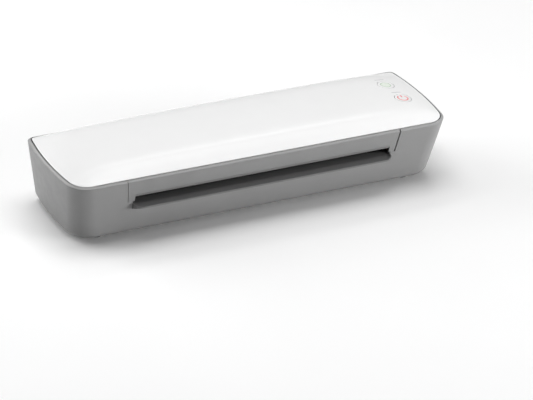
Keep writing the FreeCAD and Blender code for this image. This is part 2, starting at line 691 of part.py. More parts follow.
def round_wire(corners, wire_r):
    """Bent wire: straight runs joined by tangent arcs."""
    share = 0.45
    edges = []
    last = corners[0]
    for before, here, after in zip(corners, corners[1:], corners[2:]):
        run = min((here - before).Length, (after - here).Length) * share
        back = (before - here).normalize()
        ahead = (after - here).normalize()
        p = here + back * run
        q = here + ahead * run
        half_angle = back.getAngle(ahead) / 2
        radius = run * math.tan(half_angle)
        way = (back + ahead).normalize()
        middle = here + way * (radius / math.sin(half_angle) - radius)
        edges.append(Part.LineSegment(last, p))
        edges.append(Part.Arc(p, middle, q))
        last = q
    edges.append(Part.LineSegment(last, corners[-1]))
    path = Part.Wire([e.toShape() for e in edges])
    start = Part.Wire(Part.makeCircle(wire_r, corners[0], corners[1] - corners[0]))
    return path.makePipeShell([start], True, False)


# ----------------------------------------------------------------------- gears
PRESSURE_ANGLE = math.radians(20.0)
ADDENDUM = 0.8
DEDENDUM = 1.15
BACKLASH = 0.16


def involute(angle):
    return math.tan(angle) - angle


def make_gear(teeth, y, z, bore_r, phase, x0=GEAR_X0, x1=GEAR_X1):
    """Spur gear on an axis along X. phase is the angle of one tooth, in degrees from +Y."""
    pitch_r = teeth * GEAR_M / 2
    base_r = pitch_r * math.cos(PRESSURE_ANGLE)
    tip_r = pitch_r + ADDENDUM * GEAR_M
    root_r = pitch_r - DEDENDUM * GEAR_M
    half_pitch = (math.pi * GEAR_M / 2 - BACKLASH) / (2 * pitch_r)

    def half_angle(r):
        r = max(r, base_r)
        return half_pitch + involute(PRESSURE_ANGLE) - involute(math.acos(base_r / r))

    def at(r, angle):
        return V(x0, y + r * math.cos(angle), z + r * math.sin(angle))

    start_r = max(base_r, root_r)
    steps = 6
    radii = [start_r + (tip_r - start_r) * k / (steps - 1) for k in range(steps)]
    edges = []
    for i in range(teeth):
        mid = math.radians(phase) + 2 * math.pi * i / teeth
        following = mid + 2 * math.pi / teeth
        low = half_angle(start_r)
        rise = Part.BSplineCurve()
        rise.interpolate([at(r, mid - half_angle(r)) for r in radii])
        fall = Part.BSplineCurve()
        fall.interpolate([at(r, mid + half_angle(r)) for r in reversed(radii)])
        tip = Part.Arc(at(tip_r, mid - half_angle(tip_r)), at(tip_r, mid), at(tip_r, mid + half_angle(tip_r)))
        if base_r > root_r:
            edges.append(Part.LineSegment(at(root_r, mid - low), at(start_r, mid - low)))
        edges += [rise, tip, fall]
        if base_r > root_r:
            edges.append(Part.LineSegment(at(start_r, mid + low), at(root_r, mid + low)))
        edges.append(Part.Arc(at(root_r, mid + low), at(root_r, (mid + following) / 2),
                              at(root_r, following - low)))
    face = Part.Face(Part.Wire([e.toShape() for e in edges]))
    gear = face.extrude(V(x1 - x0, 0, 0))
    return gear.cut(cyl_x(x0 - 1, x1 + 1, y, z, bore_r))


def mesh_phase(angle, phase_a, teeth_a, teeth_b):
    """Phase of gear B, which lies in direction angle from gear A, so that the teeth mesh."""
    pitch_a = 360.0 / teeth_a
    offset = (phase_a - angle) % pitch_a
    return angle + 180.0 + 180.0 / teeth_b - offset * teeth_a / teeth_b


LOWER_PHASE = 0.0
UPPER_PHASE = mesh_phase(90.0, LOWER_PHASE, ROLLER_TEETH, ROLLER_TEETH)
IDLER_PHASE = mesh_phase(IDLER_ANGLE, LOWER_PHASE, ROLLER_TEETH, IDLER_TEETH)
PINION_PHASE = mesh_phase(PINION_ANGLE, IDLER_PHASE, IDLER_TEETH, PINION_TEETH)


def make_idler_gear():
    gear = make_gear(IDLER_TEETH, IDLER_Y, IDLER_Z, STUD_R + RUN, IDLER_PHASE)
    holes = []
    for k in range(5):
        a = math.radians(72 * k + 15)
        holes.append(cyl_x(GEAR_X0 - 1, GEAR_X1 + 1, IDLER_Y + 5.6 * math.cos(a), IDLER_Z + 5.6 * math.sin(a), 1.4))
    return gear.cut(Part.makeCompound(holes))


def make_idler_stud():
    rivet = cyl_x(-PLATE_OUT, -PLATE_X, IDLER_Y, IDLER_Z, 1.8)
    collar = cyl_x(GEAR_X1 + 0.3, -PLATE_OUT, IDLER_Y, IDLER_Z, 4.0)
    pin = cyl_x(-135.2, GEAR_X1 + 0.3, IDLER_Y, IDLER_Z, STUD_R)
    return fuse([rivet, collar, pin])


def make_idler_clip():
    return ring_x(-134.6, -133.8, IDLER_Y, IDLER_Z, 4.2, STUD_R)


def make_motor_bracket():
    plate = box(BRACKET_X0, BRACKET_X1, -24, 41, 7.0, 56.0)
    corners = [e for e in plate.Edges if e.BoundBox.XLength > 1 and e.BoundBox.ZLength < 0.01
               and e.BoundBox.YLength < 0.01]
    plate = plate.makeFillet(5.0, corners)
    cuts = [cyl_x(BRACKET_X0 - 1, BRACKET_X1 + 1, PINION_Y, PINION_Z, 5.4)]
    for y, z in STANDOFFS:
        cuts.append(cyl_x(BRACKET_X0 - 1, BRACKET_X1 + 1, y, z, 1.6))
    for y in (MOTOR_Y - EAR_HOLE, MOTOR_Y + EAR_HOLE):
        cuts.append(cyl_x(BRACKET_X0 - 1, BRACKET_X1 + 1, y, MOTOR_Z, 1.35))
    return plate.cut(Part.makeCompound(cuts))


def make_standoffs():
    posts = []
    for y, z in STANDOFFS:
        post = cyl_x(BRACKET_X1, -PLATE_OUT, y, z, 3.0)
        posts.append(post.cut(cyl_x(BRACKET_X1 - 1, -PLATE_OUT + 1, y, z, 1.35)))
    return Part.makeCompound(posts)


def make_standoff_screws():
    screws = []
    for y, z in STANDOFFS:
        screws.append(pan_screw_x(-PLATE_X, 1, y, z, 1.3, 6.5, 2.6, 1.4))
        screws.append(pan_screw_x(BRACKET_X0, -1, y, z, 1.3, 6.5, 2.6, 1.4))
    return Part.makeCompound(screws)


def make_motor():
    x1 = BRACKET_X0
    x0 = x1 - MOTOR_L
    can = cyl_x(x0, x1, MOTOR_Y, MOTOR_Z, MOTOR_R)
    back = [e for e in can.Edges if abs(e.BoundBox.XMax - x0) < 0.01]
    can = can.makeFillet(2.0, back)
    hub = cyl_x(x1 - 1, x1 + 3.4, PINION_Y, PINION_Z, 5.0)
    ear_end = EAR_HOLE + 3.5
    ears = box(x1 - 1.0, x1, MOTOR_Y - ear_end, MOTOR_Y + ear_end, MOTOR_Z - 4.5, MOTOR_Z + 4.5)
    ear_corners = [e for e in ears.Edges if e.BoundBox.XLength > 0.5 and e.BoundBox.ZLength < 0.01
                   and e.BoundBox.YLength < 0.01]
    ears = ears.makeFillet(4.0, ear_corners)
    terminal = box(x0 + 4, x0 + 13, MOTOR_Y - 7, MOTOR_Y + 7, MOTOR_Z + MOTOR_R - 3, MOTOR_Z + MOTOR_R + 2.5)
    motor = fuse([can, hub, ears, terminal])
    cuts = [cyl_x(x1 - 6, x1 + 5, PINION_Y, PINION_Z, 2.0 + RUN)]
    for y in (MOTOR_Y - EAR_HOLE, MOTOR_Y + EAR_HOLE):
        cuts.append(cyl_x(x1 - 2, x1 + 1, y, MOTOR_Z, 1.7))
    return motor.cut(Part.makeCompound(cuts))


def make_motor_screws():
    face = BRACKET_X0 - 1.0
    return Part.makeCompound([pan_screw_x(face, -1, y, MOTOR_Z, 1.3, 4.5, 2.6, 1.6)
                              for y in (MOTOR_Y - EAR_HOLE, MOTOR_Y + EAR_HOLE)])


def make_motor_shaft():
    return cyl_x(BRACKET_X0 - 5.5, GEAR_X1 + 0.5, PINION_Y, PINION_Z, 2.0)


# ----------------------------------------------------------------- electronics
def make_control_board():
    board = box(130, 161, -21.5, 31, BOARD_Z, BOARD_Z + BOARD_T)
    return board.cut(Part.makeCompound([cyl_z(x, y, BOARD_Z - 1, BOARD_Z + 3, 1.5) for x, y in BOARD_POSTS]))


BOARD_TOP = BOARD_Z + BOARD_T


def make_film_capacitor():
    body = box(137, 154, -2, 6, BOARD_TOP, BOARD_TOP + 13)
    return body.makeFillet(0.8, [e for e in body.Edges if e.BoundBox.ZLength > 5])


def make_relay():
    body = box(140, 156, 9, 20, BOARD_TOP, BOARD_TOP + 14)
    return body.makeFillet(0.6, [e for e in body.Edges if e.BoundBox.ZLength > 5])


def make_electrolytic():
    can = cyl_z(140, -11, BOARD_TOP, BOARD_TOP + 14, 4.5)
    return can.makeFillet(0.6, [e for e in can.Edges if e.BoundBox.ZMin > BOARD_TOP + 13])


def make_terminal_block():
    body = box(146, 158, 20.8, 23.8, BOARD_TOP, BOARD_TOP + 9)
    holes = [cyl_y(x, 22.5, 25, BOARD_TOP + 4.5, 1.3) for x in (148, 152, 156)]
    return body.cut(Part.makeCompound(holes))


def make_board_fuse():
    tube = cyl_y(132.5, -12, 8, BOARD_TOP + 4.0, 2.6)
    clips = [box(130.5, 134.5, -11, -8, BOARD_TOP, BOARD_TOP + 3.5),
             box(130.5, 134.5, 4, 7, BOARD_TOP, BOARD_TOP + 3.5)]
    return fuse([tube] + clips)


def make_panel_board():
    board = box(129, 160, -21.5, 22, PANEL_Z, PANEL_Z + BOARD_T)
    return board.cut(Part.makeCompound([cyl_z(x, y, PANEL_Z - 1, PANEL_Z + 3, 1.2) for x, y in PANEL_POSTS]))


PANEL_TOP = PANEL_Z + BOARD_T
SWITCH_TOP = PANEL_TOP + 2.4
STEM_Z = SWITCH_TOP + 1.0
PLUNGER_R = 1.5
PLUNGER_DEPTH = 0.8      # how far the plunger sits inside the switch at rest


def make_tact_switch():
    body = box(POWER_X - 3, POWER_X + 3, POWER_Y - 3, POWER_Y + 3, PANEL_TOP, SWITCH_TOP)
    body = body.makeChamfer(0.4, [e for e in body.Edges if e.BoundBox.ZLength > 1])
    well_z = SWITCH_TOP - PLUNGER_DEPTH - BUTTON_TRAVEL - 0.2
    return body.cut(cyl_z(POWER_X, POWER_Y, well_z, SWITCH_TOP + 1, PLUNGER_R + 2 * RUN))


def make_led(x, y):
    stem = cyl_z(x, y, PANEL_TOP, PANEL_TOP + 1.6, 1.5)
    return stem.makeFillet(0.7, [e for e in stem.Edges if e.BoundBox.ZMin > PANEL_TOP + 1.5])


def make_cap(x, y, drop):
    """Round cap that continues the cover's surface, with a flange under the cover."""
    disc = cyl_z(x, y, EDGE_Z, 80, BUTTON_R).common(COVER_TOP)
    floor = cyl_z(x, y, EDGE_Z - 5, 80, BUTTON_R + 3).common(under_cover(COVER_T + drop + 1.1))
    flange = cyl_z(x, y, EDGE_Z - 2, 80, BUTTON_R + 1.8).common(under_cover(COVER_T + drop))
    return disc.fuse(flange).cut(floor).removeSplitter()


def make_power_button():
    cap = make_cap(POWER_X, POWER_Y, 0.15)
    stem_top = cover_z(POWER_X, POWER_Y) - COVER_T
    stem = cyl_z(POWER_X, POWER_Y, STEM_Z, stem_top, 1.6)
    return fuse([cap, stem])


def make_switch_plunger():
    """The switch's own plunger, which travels with the button."""
    return cyl_z(POWER_X, POWER_Y, SWITCH_TOP - PLUNGER_DEPTH, STEM_Z, PLUNGER_R)


def make_cord_gland():
    y_face = rear_wall_y(GLAND_X, GLAND_Z) + 0.5
    neck = cyl_y(GLAND_X, y_face - 7, y_face, GLAND_Z, 6.9)
    flange = cyl_y(GLAND_X, y_face, y_face + 2.0, GLAND_Z, 9.0)
    flange = flange.makeFillet(0.8, [e for e in flange.Edges if e.BoundBox.YMin > y_face + 1.9])
    nut = cyl_y(GLAND_X, y_face - 6.5, y_face - 3.5, GLAND_Z, 9.0)
    return fuse([neck, flange, nut]).cut(cyl_y(GLAND_X, y_face - 10, y_face + 5, GLAND_Z, GLAND_BORE_R))


# ----------------------------------------------------------------------- build
export("lower_housing", make_lower_housing())
export("top_cover", make_top_cover())
export("front_trim", make_front_trim())
export("exit_guide", make_exit_guide())
export("entry_guide", make_entry_guide())
export("rubber_feet", make_feet())
export("case_screws", Part.makeCompound([pan_screw_z(x, y, 8.0, -1, 1.4, 22.0, 3.0, 2.2) for x, y in TOWERS]))

export("left_side_plate", make_side_plate(-1))
export("right_side_plate", make_side_plate(1))
for bar_name, bar_y, bar_z in BARS:
    export(bar_name, make_tie_bar(bar_y, bar_z))
export("tie_bar_screws", make_tie_bar_screws())
export("chassis_screws", Part.makeCompound(
    [pan_screw_z(x, y, FLANGE_Z + PLATE_T, 1, 1.4, 4.8, 2.8, 2.0) for x, y in CHASSIS_SCREWS]))
export("lower_heater_plate", make_heater_plate(LOWER_HEATER_Z))
export("upper_heater_plate", make_heater_plate(UPPER_HEATER_Z))
export("lower_heating_element", make_heating_element(LOWER_HEATER_Z - ELEMENT_T))
export("upper_heating_element", make_heating_element(UPPER_HEATER_Z + HEATER_T))
export("heat_shield", make_heat_shield())
export("thermostat", make_thermostat())
export("thermal_fuse", make_thermal_fuse())

right_bush = make_bush()
export("right_bush", right_bush)
export("left_bush", mirror_x(right_bush))
export("lower_roller_shaft", make_shaft(LOWER_Z))
export("lower_roller_sleeve", make_sleeve(LOWER_Z))
export("lower_roller_gear", make_gear(ROLLER_TEETH, ROLLER_Y, LOWER_Z, SHAFT_R, LOWER_PHASE))
export("lower_roller_clips", make_clips(LOWER_Z, GEAR_X0 - 0.2, PLATE_OUT + 2.4))
export("upper_roller_shaft", make_shaft(UPPER_Z))
export("upper_roller_sleeve", make_sleeve(UPPER_Z))
export("upper_roller_gear", make_gear(ROLLER_TEETH, ROLLER_Y, UPPER_Z, SHAFT_R, UPPER_PHASE))
export("upper_roller_clips", make_clips(UPPER_Z, GEAR_X0 - 0.2, PLATE_OUT + 3.0))
right_block = make_pressure_block()
export("right_pressure_block", right_block)
export("left_pressure_block", mirror_x(right_block))
right_spring = make_pressure_spring()
export("right_pressure_spring", right_spring)
export("left_pressure_spring", mirror_x(right_spring))

export("idler_gear", make_idler_gear())
export("idler_stud", make_idler_stud())
export("idler_clip", make_idler_clip())
export("motor_bracket", make_motor_bracket())
export("motor_standoffs", make_standoffs())
export("standoff_screws", make_standoff_screws())
export("drive_motor", make_motor())
export("motor_screws", make_motor_screws())
export("motor_shaft", make_motor_shaft())
export("motor_pinion", make_gear(PINION_TEETH, PINION_Y, PINION_Z, 2.0, PINION_PHASE))

export("control_board", make_control_board())
export("board_screws", Part.makeCompound(
    [pan_screw_z(x, y, BOARD_TOP, 1, 1.15, 6.0, 2.4, 1.6) for x, y in BOARD_POSTS]))
export("film_capacitor", make_film_capacitor())
export("relay", make_relay())
export("smoothing_capacitor", make_electrolytic())
export("terminal_block", make_terminal_block())
export("board_fuse", make_board_fuse())
export("button_board", make_panel_board())
export("button_board_screws", Part.makeCompound(
    [pan_screw_z(x, y, PANEL_Z, -1, 0.9, 4.5, 2.0, 1.2) for x, y in PANEL_POSTS]))
export("tact_switch", make_tact_switch())
export("status_leds", Part.makeCompound([make_led(POWER_X + 5, POWER_Y), make_led(READY_X, READY_Y)]))
export("power_button", make_power_button())
export("switch_plunger", make_switch_plunger())
export("ready_lens", make_cap(READY_X, READY_Y, 0.0))
export("cord_gland", make_cord_gland())
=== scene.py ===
import json
import math

import bmesh
import bpy
from mathutils import Matrix, Vector


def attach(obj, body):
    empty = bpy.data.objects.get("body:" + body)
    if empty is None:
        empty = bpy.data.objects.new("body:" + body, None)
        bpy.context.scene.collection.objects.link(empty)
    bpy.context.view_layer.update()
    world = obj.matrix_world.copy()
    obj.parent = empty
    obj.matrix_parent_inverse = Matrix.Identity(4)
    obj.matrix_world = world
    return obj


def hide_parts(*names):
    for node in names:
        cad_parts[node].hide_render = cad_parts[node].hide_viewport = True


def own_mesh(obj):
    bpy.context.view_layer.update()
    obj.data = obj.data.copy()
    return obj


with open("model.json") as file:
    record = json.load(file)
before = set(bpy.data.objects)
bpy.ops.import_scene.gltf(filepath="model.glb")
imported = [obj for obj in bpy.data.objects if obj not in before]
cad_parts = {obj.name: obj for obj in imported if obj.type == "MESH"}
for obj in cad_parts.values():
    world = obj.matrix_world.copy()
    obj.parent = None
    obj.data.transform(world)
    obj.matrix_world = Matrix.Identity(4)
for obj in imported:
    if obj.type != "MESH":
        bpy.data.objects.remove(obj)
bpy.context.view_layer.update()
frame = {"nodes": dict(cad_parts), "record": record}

# Sizes below are in millimetres, as in the CAD source, and MM turns them into metres.
MM = 0.001

# ---------------------------------------------------------------- casing sizes
RIM_CHORD = 338.0
END_BOW = 4.2
FRONT_Y = -51.5
REAR_Y = 49.3
REAR_BOW = 2.0
FRONT_CORNER_R = 19.0
REAR_CORNER_R = 6.0
RIM_Z = 56.0
BASE_Z = 3.0
BOTTOM_R = 5.5
WALL = 2.2
BEVEL_IN = 2.0
BEVEL_UP = 1.5
BEVEL_SLOPE = BEVEL_UP / BEVEL_IN
EDGE_Z = RIM_Z + BEVEL_UP
EASE_UNDER = 0.5         # how far the rim's rounding reaches down the wall
EASE_OVER = 0.4          # how far it reaches in over the bevel
EASE_TOP = 0.3           # how far the rounding of the bevel's top edge reaches back and down
END_LEAN = 8.0
FRONT_LEAN = 12.0
REAR_LEAN = 2.0
FLOOR_Z = BASE_Z + WALL

# ----------------------------------------------------------------- cover sizes
COVER_GAP = 0.5
COVER_INSET = BEVEL_IN + COVER_GAP
SKIRT_INSET = 3.3
SKIRT_DEPTH = 4.5
SKIRT_T = 1.9
COVER_T = 2.2
LIP_SETBACK = 0.5        # the cover's lip stands this much further back over its groove
CROWN = 9.0
CROWN_DOME = 0.12
FRONT_RUN = 13.0
REAR_RUN = 10.0
END_RUN = 23.0
FRONT_SHARPNESS = 3.5
REAR_SHARPNESS = 2.2
END_SHARPNESS = 2.0

# ------------------------------------------------------------------ slot sizes
SLOT_HALF = 115.5
LIP_Z = 39.5
SHELF_Z = 35.1
SHELF_T = 2.0
SHELF_OUT = 8.0
SHELF_SLOPE = 0.18
SHELF_CORNER_R = 7.0
SHELF_HALF = SLOT_HALF + 1.5
SHELF_BACK_Y = -39.5
TRIM_TOP_HALF = 123.2
TRIM_FOOT_HALF = 120.9
TRIM_GAP = 0.8
TRIM_SHIFT = -0.35       # the trim sits a little to the left of centre
TRIM_FOOT_Z = 36.2
LIP_ROLL_R = 4.0
GUIDE_BACK_Y = -41.5
WINDOW_BACK_Y = -42.0    # the window for the trim is cut from outside the front wall to here
OUTSIDE = 5.0            # how far a cutter starts outside the casing
FIT_GAP = 0.1

# --------------------------------------------------------------- button sizes
POWER_X = 145.6
POWER_Y = -12.5
READY_X = 143.3
READY_Y = 13.9
BUTTON_R = 7.0
BUTTON_DISH = 0.12       # depth of the hollow in the middle of a cap
HOLE_R = BUTTON_R + 0.5
FLANGE_R = 8.8
STEM_R = 1.6
STEM_Z = 59.2            # foot of the button's stem
MARK_H = 0.05            # a printed mark stands this proud
MARK_SINK = 0.05         # and starts this far under the surface

# ------------------------------------------------------------------ rear sizes
ENTRY_HALF = 118.0
ENTRY_Z0 = 33.4
ENTRY_Z1 = 43.8
ENTRY_BACK_Y = 34.0
ENTRY_FRAME = 4.0        # width of the frame that laps over the rear wall
GLAND_X = 138.0
GLAND_Z = 20.0
GLAND_R = 7.0
REAR_CUT = (45.0, 62.0)  # cutters for the rear wall run between these places on Y

# ---------------------------------------------------------------- spring sizes
SPRING_X = 123.95
SPRING_Y = -30.0
SPRING_Z0 = 51.5
SPRING_Z1 = 58.4
SPRING_COIL_R = 2.9
SPRING_WIRE_R = 0.5
SPRING_TURNS = 4
SPRING_GAP = 0.1         # clear of what it presses on, at either end

# ----------------------------------------------------- screws, posts and feet
TOWER_TOP_Z = 18.0
TOWER_R = 4.5
BOSS_R = 4.0
HEAD_R = 3.6
HEAD_SEAT_Z = 8.0
SHANK_R = 1.8
PILOT_R = 1.45
PILOT_TOP_Z = 34.0
PILLAR_TOP_Z = 8.0
PILLAR_R = 4.0
BOARD_POST_TOP_Z = 12.0
BOARD_POST_R = 3.0
BOARD_PILOT_R = 1.2
PANEL_POST_Z = 55.8
PANEL_POST_R = 2.5
PANEL_PILOT_R = 0.95
PANEL_PILOT_TOP_Z = 59.2
TOWERS = [(-152, -27), (152, -27), (-152, 38), (152, 38)]
FEET = [(-140, -26.5), (140, -26.5), (-140, 34), (140, 34)]
FOOT_R = 6.0
FOOT_SEAT_Z = 4.0
VENT_PITCH = 12.0
VENT_RUN = (-14.0, 30.0)
CHASSIS_SCREWS = [(-117, -30), (117, -30), (-117, 35), (117, 35)]
BOARD_POSTS = [(134, -17.5), (157, -17.5), (134, 27), (157, 27)]
PANEL_POSTS = [(132.5, -18), (156.5, -18), (132.5, 18.5), (156.5, 18.5)]


# ------------------------------------------------------------------ mesh tools
def new_object(name, bm):
    mesh = bpy.data.meshes.new(name)
    bmesh.ops.recalc_face_normals(bm, faces=bm.faces)
    bm.to_mesh(mesh)
    bm.free()
    obj = bpy.data.objects.new(name, mesh)
    bpy.context.scene.collection.objects.link(obj)
    return obj


def skin(rings):
    """Open band of faces through closed rings of points, and its rows of vertices."""
    bm = bmesh.new()
    rows = [[bm.verts.new(Vector(p) * MM) for p in ring] for ring in rings]
    count = len(rings[0])
    for low, high in zip(rows, rows[1:]):
        for k in range(count):
            n = (k + 1) % count
            bm.faces.new((low[k], low[n], high[n], high[k]))
    return bm, rows


def ring_stack(name, rings, merge=0.002):
    """Closed skin through closed rings of points; the first and last rings fold shut."""
    bm = skin(rings)[0]
    bmesh.ops.remove_doubles(bm, verts=bm.verts, dist=merge * MM)
    bmesh.ops.dissolve_degenerate(bm, edges=bm.edges, dist=merge * MM)
    return new_object(name, bm)


def fan_stack(name, rings):
    """Closed skin through rings whose two ends are filled with one face each."""
    bm, rows = skin(rings)
    bm.faces.new(rows[0])
    bm.faces.new(list(reversed(rows[-1])))
    return new_object(name, bm)


def prism_x(name, profile, x0, x1):
    """A closed (y, z) profile drawn out along X."""
    return fan_stack(name, [[(x, y, z) for y, z in profile] for x in (x0, x1)])


def block(name, x0, x1, y0, y1, z0, z1):
    """Square-cornered bar between two places on each axis."""
    return prism_x(name, [(y0, z0), (y1, z0), (y1, z1), (y0, z1)], x0, x1)


def circle(x, y, z, r, steps=48):
    turn = 2 * math.pi / steps
    return [(x + r * math.cos(k * turn), y + r * math.sin(k * turn), z) for k in range(steps)]


def post(name, x, y, z0, z1, r, steps=48):
    """Round bar along Z."""
    return fan_stack(name, [circle(x, y, z0, r, steps), circle(x, y, z1, r, steps)])


def drum_y(name, x, y0, y1, z, r, steps=64):
    """Round bar along Y."""
    rings = [[(px, y, z + pz) for px, pz, _ in circle(x, 0, 0, r, steps)] for y in (y0, y1)]
    return fan_stack(name, rings)


def join(objects):
    """One object from several."""
    for o in bpy.context.selected_objects:
        o.select_set(False)
    for o in objects:
        o.select_set(True)
    bpy.context.view_layer.objects.active = objects[0]
    bpy.ops.object.join()
    return objects[0]


def apply_modifiers(obj):
    """Turns an object's modifiers into its own mesh."""
    dg = bpy.context.evaluated_depsgraph_get()
    baked = bpy.data.meshes.new_from_object(obj.evaluated_get(dg))
    old = obj.data
    obj.modifiers.clear()
    obj.data = baked
    baked.name = obj.name
    bpy.data.meshes.remove(old)


def combine(obj, others, how):
    """Adds the other solids to obj or cuts them from it, then removes them."""
    for other in others:
        mod = obj.modifiers.new(how, "BOOLEAN")
        mod.operation = how
        mod.solver = "EXACT"
        mod.use_self = False
        mod.object = other
    apply_modifiers(obj)
    for other in others:
        bpy.data.objects.remove(other)


def soften(obj, width, angle=35.0, segments=3):
    """Small rounding on every edge sharper than the angle."""
    mod = obj.modifiers.new("soften", "BEVEL")
    mod.width = width * MM
    mod.segments = segments
    mod.limit_method = "ANGLE"
    mod.angle_limit = math.radians(angle)
    mod.miter_outer = "MITER_ARC"
    mod.use_clamp_overlap = True
    apply_modifiers(obj)


def shade(obj, angle=32.0):
    """Smooth faces with sharp edges kept, normals led by the larger faces."""
    mesh = obj.data
    mesh.polygons.foreach_set("use_smooth", [True] * len(mesh.polygons))
    mesh.set_sharp_from_angle(angle=math.radians(angle))
    mod = obj.modifiers.new("normals", "WEIGHTED_NORMAL")
    mod.keep_sharp = True
    mod.weight = 60
    apply_modifiers(obj)


def corner_curve(p0, p1, p2, steps=4):
    """Points of a rounded corner at p1 that starts at p0 and ends at p2."""
    points = []
    for k in range(steps + 1):
        t = k / steps
        a, b, c = (1 - t) ** 2, 2 * t * (1 - t), t * t
        points.append(tuple(a * u + b * v + c * w for u, v, w in zip(p0, p1, p2)))
    return points


# ------------------------------------------------------------- casing outlines
def wall_depth(z):
    """0 at the rim and 1 at the base."""
    return max(0.0, (RIM_Z - z) / (RIM_Z - BASE_Z))


def front_inset(z):
    t = wall_depth(z)
    return FRONT_LEAN * (0.88 * t + 0.12 * t * t)


def front_wall_y(z):
    return FRONT_Y + front_inset(z)


def rear_wall_y(x, z):
    half = RIM_CHORD / 2
    return REAR_Y - REAR_LEAN * wall_depth(z) + REAR_BOW * (1 - (x / half) ** 2)


def end_wall_x(y):
    mid = (FRONT_Y + REAR_Y) / 2
    reach = (REAR_Y - FRONT_Y) / 2
    return RIM_CHORD / 2 + END_BOW * (1 - ((y - mid) / reach) ** 2)


def bow_circle(chord, bow):
    """Radius of the arc that stands out by bow over a chord."""
    return (chord * chord / 4 + bow * bow) / (2 * bow)


def arc(centre, radius, start, end, steps):
    """Points from start up to, but not including, end on the short arc between them."""
    a0 = math.atan2(start.y - centre.y, start.x - centre.x)
    a1 = math.atan2(end.y - centre.y, end.x - centre.x)
    return [(centre.x + radius * math.cos(a0 + (a1 - a0) * k / steps),
             centre.y + radius * math.sin(a0 + (a1 - a0) * k / steps)) for k in range(steps)]


FRONT_STEPS = 44
FRONT_CORNER_STEPS = 18
END_STEPS = 26
REAR_CORNER_STEPS = 10
SIDE_STEPS = FRONT_CORNER_STEPS + END_STEPS + REAR_CORNER_STEPS


def outline(z, offset=0.0):
    """Plan outline of the casing at height z, moved inwards by offset.

    It runs from the front's middle round the right end, along the rear and back round the left end.
    """
    t = wall_depth(z)
    half = RIM_CHORD / 2 - offset - END_LEAN * t
    y0 = FRONT_Y + offset + front_inset(z)
    y1 = REAR_Y - offset - REAR_LEAN * t
    mid = (y0 + y1) / 2
    end_r = bow_circle(y1 - y0, END_BOW)
    end_c = Vector((half + END_BOW - end_r, mid))
    rear_r = bow_circle(2 * half, REAR_BOW)
    rear_c = Vector((0, y1 + REAR_BOW - rear_r))
    rf = FRONT_CORNER_R - offset
    fx = end_c.x + math.sqrt((end_r - rf) ** 2 - (y0 + rf - mid) ** 2)
    front_c = Vector((fx, y0 + rf))
    front_end = end_c + (front_c - end_c) * (end_r / (end_r - rf))
    rr = max(0.5, REAR_CORNER_R - offset)
    d = rear_c - end_c
    a = ((end_r - rr) ** 2 - (rear_r - rr) ** 2 + d.length_squared) / (2 * d.length)
    h = math.sqrt((end_r - rr) ** 2 - a * a)
    along = d.normalized()
    across = Vector((-along.y, along.x))
    if across.x < 0:
        across = -across
    corner_c = end_c + along * a + across * h
    rear_end = end_c + (corner_c - end_c) * (end_r / (end_r - rr))
    rear_top = rear_c + (corner_c - rear_c) * (rear_r / (rear_r - rr))
    points = [(fx * k / FRONT_STEPS, y0) for k in range(FRONT_STEPS)]
    points += arc(front_c, rf, Vector((fx, y0)), front_end, FRONT_CORNER_STEPS)
    points += arc(end_c, end_r, front_end, rear_end, END_STEPS)
    points += arc(corner_c, rr, rear_end, rear_top, REAR_CORNER_STEPS)
    points += arc(rear_c, rear_r, rear_top, Vector((0, y1 + REAR_BOW)), FRONT_STEPS)
    points.append((0.0, y1 + REAR_BOW))
    points += [(-x, y) for x, y in reversed(points[1:-1])]
    return points


SPINE_HALF = 118.0       # half length of the line that a closed surface's rings shrink to


def spine():
    """The point of the middle line that each outline point shrinks towards."""
    mid = (FRONT_Y + REAR_Y) / 2
    right = [(SPINE_HALF * k / FRONT_STEPS, mid) for k in range(FRONT_STEPS)]
    right += [(SPINE_HALF, mid)] * (SIDE_STEPS + 1)
    right += [(SPINE_HALF * (FRONT_STEPS - k) / FRONT_STEPS, mid) for k in range(1, FRONT_STEPS)]
    right.append((0.0, mid))
    return right + [(-x, y) for x, y in reversed(right[1:-1])]


def shrunk(edge, share):
    """The ring a given share of the way from the edge to the middle line."""
    return [(x + (sx - x) * share, y + (sy - y) * share) for (x, y), (sx, sy) in zip(edge, spine())]


def level(points, z):
    return [(x, y, z) for x, y in points]


# ------------------------------------------------------------------ cover form
def ramp(s, run, sharpness):
    """Rise from 0 towards 1 over a run, quicker to level out the higher the sharpness."""
    a = abs(s) / run
    value = a / (1 + a ** sharpness) ** (1 / sharpness)
    return value if s >= 0 else -value


def square_off(s, t, radius):
    """Distances from two edges with a rounded corner, remapped so that one is 0 all along the arc."""
    p = 1 - s / radius
    q = 1 - t / radius
    if p <= 0.01 or q <= 0.01:
        return s, t
    n = p * p + q * q
    w = math.sqrt((n - math.sqrt(max(0.0, n * (n - 4 * p * p * q * q)))) / 2)
    return radius * (1 - w / q), radius * (1 - w / p)


def cover_z(x, y):
    """Height of the crowned cover's surface."""
    front_gap = y - FRONT_Y - COVER_INSET
    rear_gap = rear_wall_y(x, RIM_Z) - COVER_INSET - y
    end_gap = end_wall_x(y) - COVER_INSET - abs(x)
    front_gap, end_gap = square_off(front_gap, end_gap, FRONT_CORNER_R - COVER_INSET)
    rear_gap, end_gap = square_off(rear_gap, end_gap, REAR_CORNER_R - COVER_INSET)
    front = ramp(front_gap, FRONT_RUN, FRONT_SHARPNESS)
    rear = ramp(rear_gap, REAR_RUN, REAR_SHARPNESS)
    end = ramp(end_gap, END_RUN, END_SHARPNESS)
    dome = 1 + CROWN_DOME * (1 - (y / REAR_Y) ** 2)
    return EDGE_Z + CROWN * dome * front * rear * end


def on_cover(points, drop=0.0):
    return [(x, y, cover_z(x, y) - drop) for x, y in points]


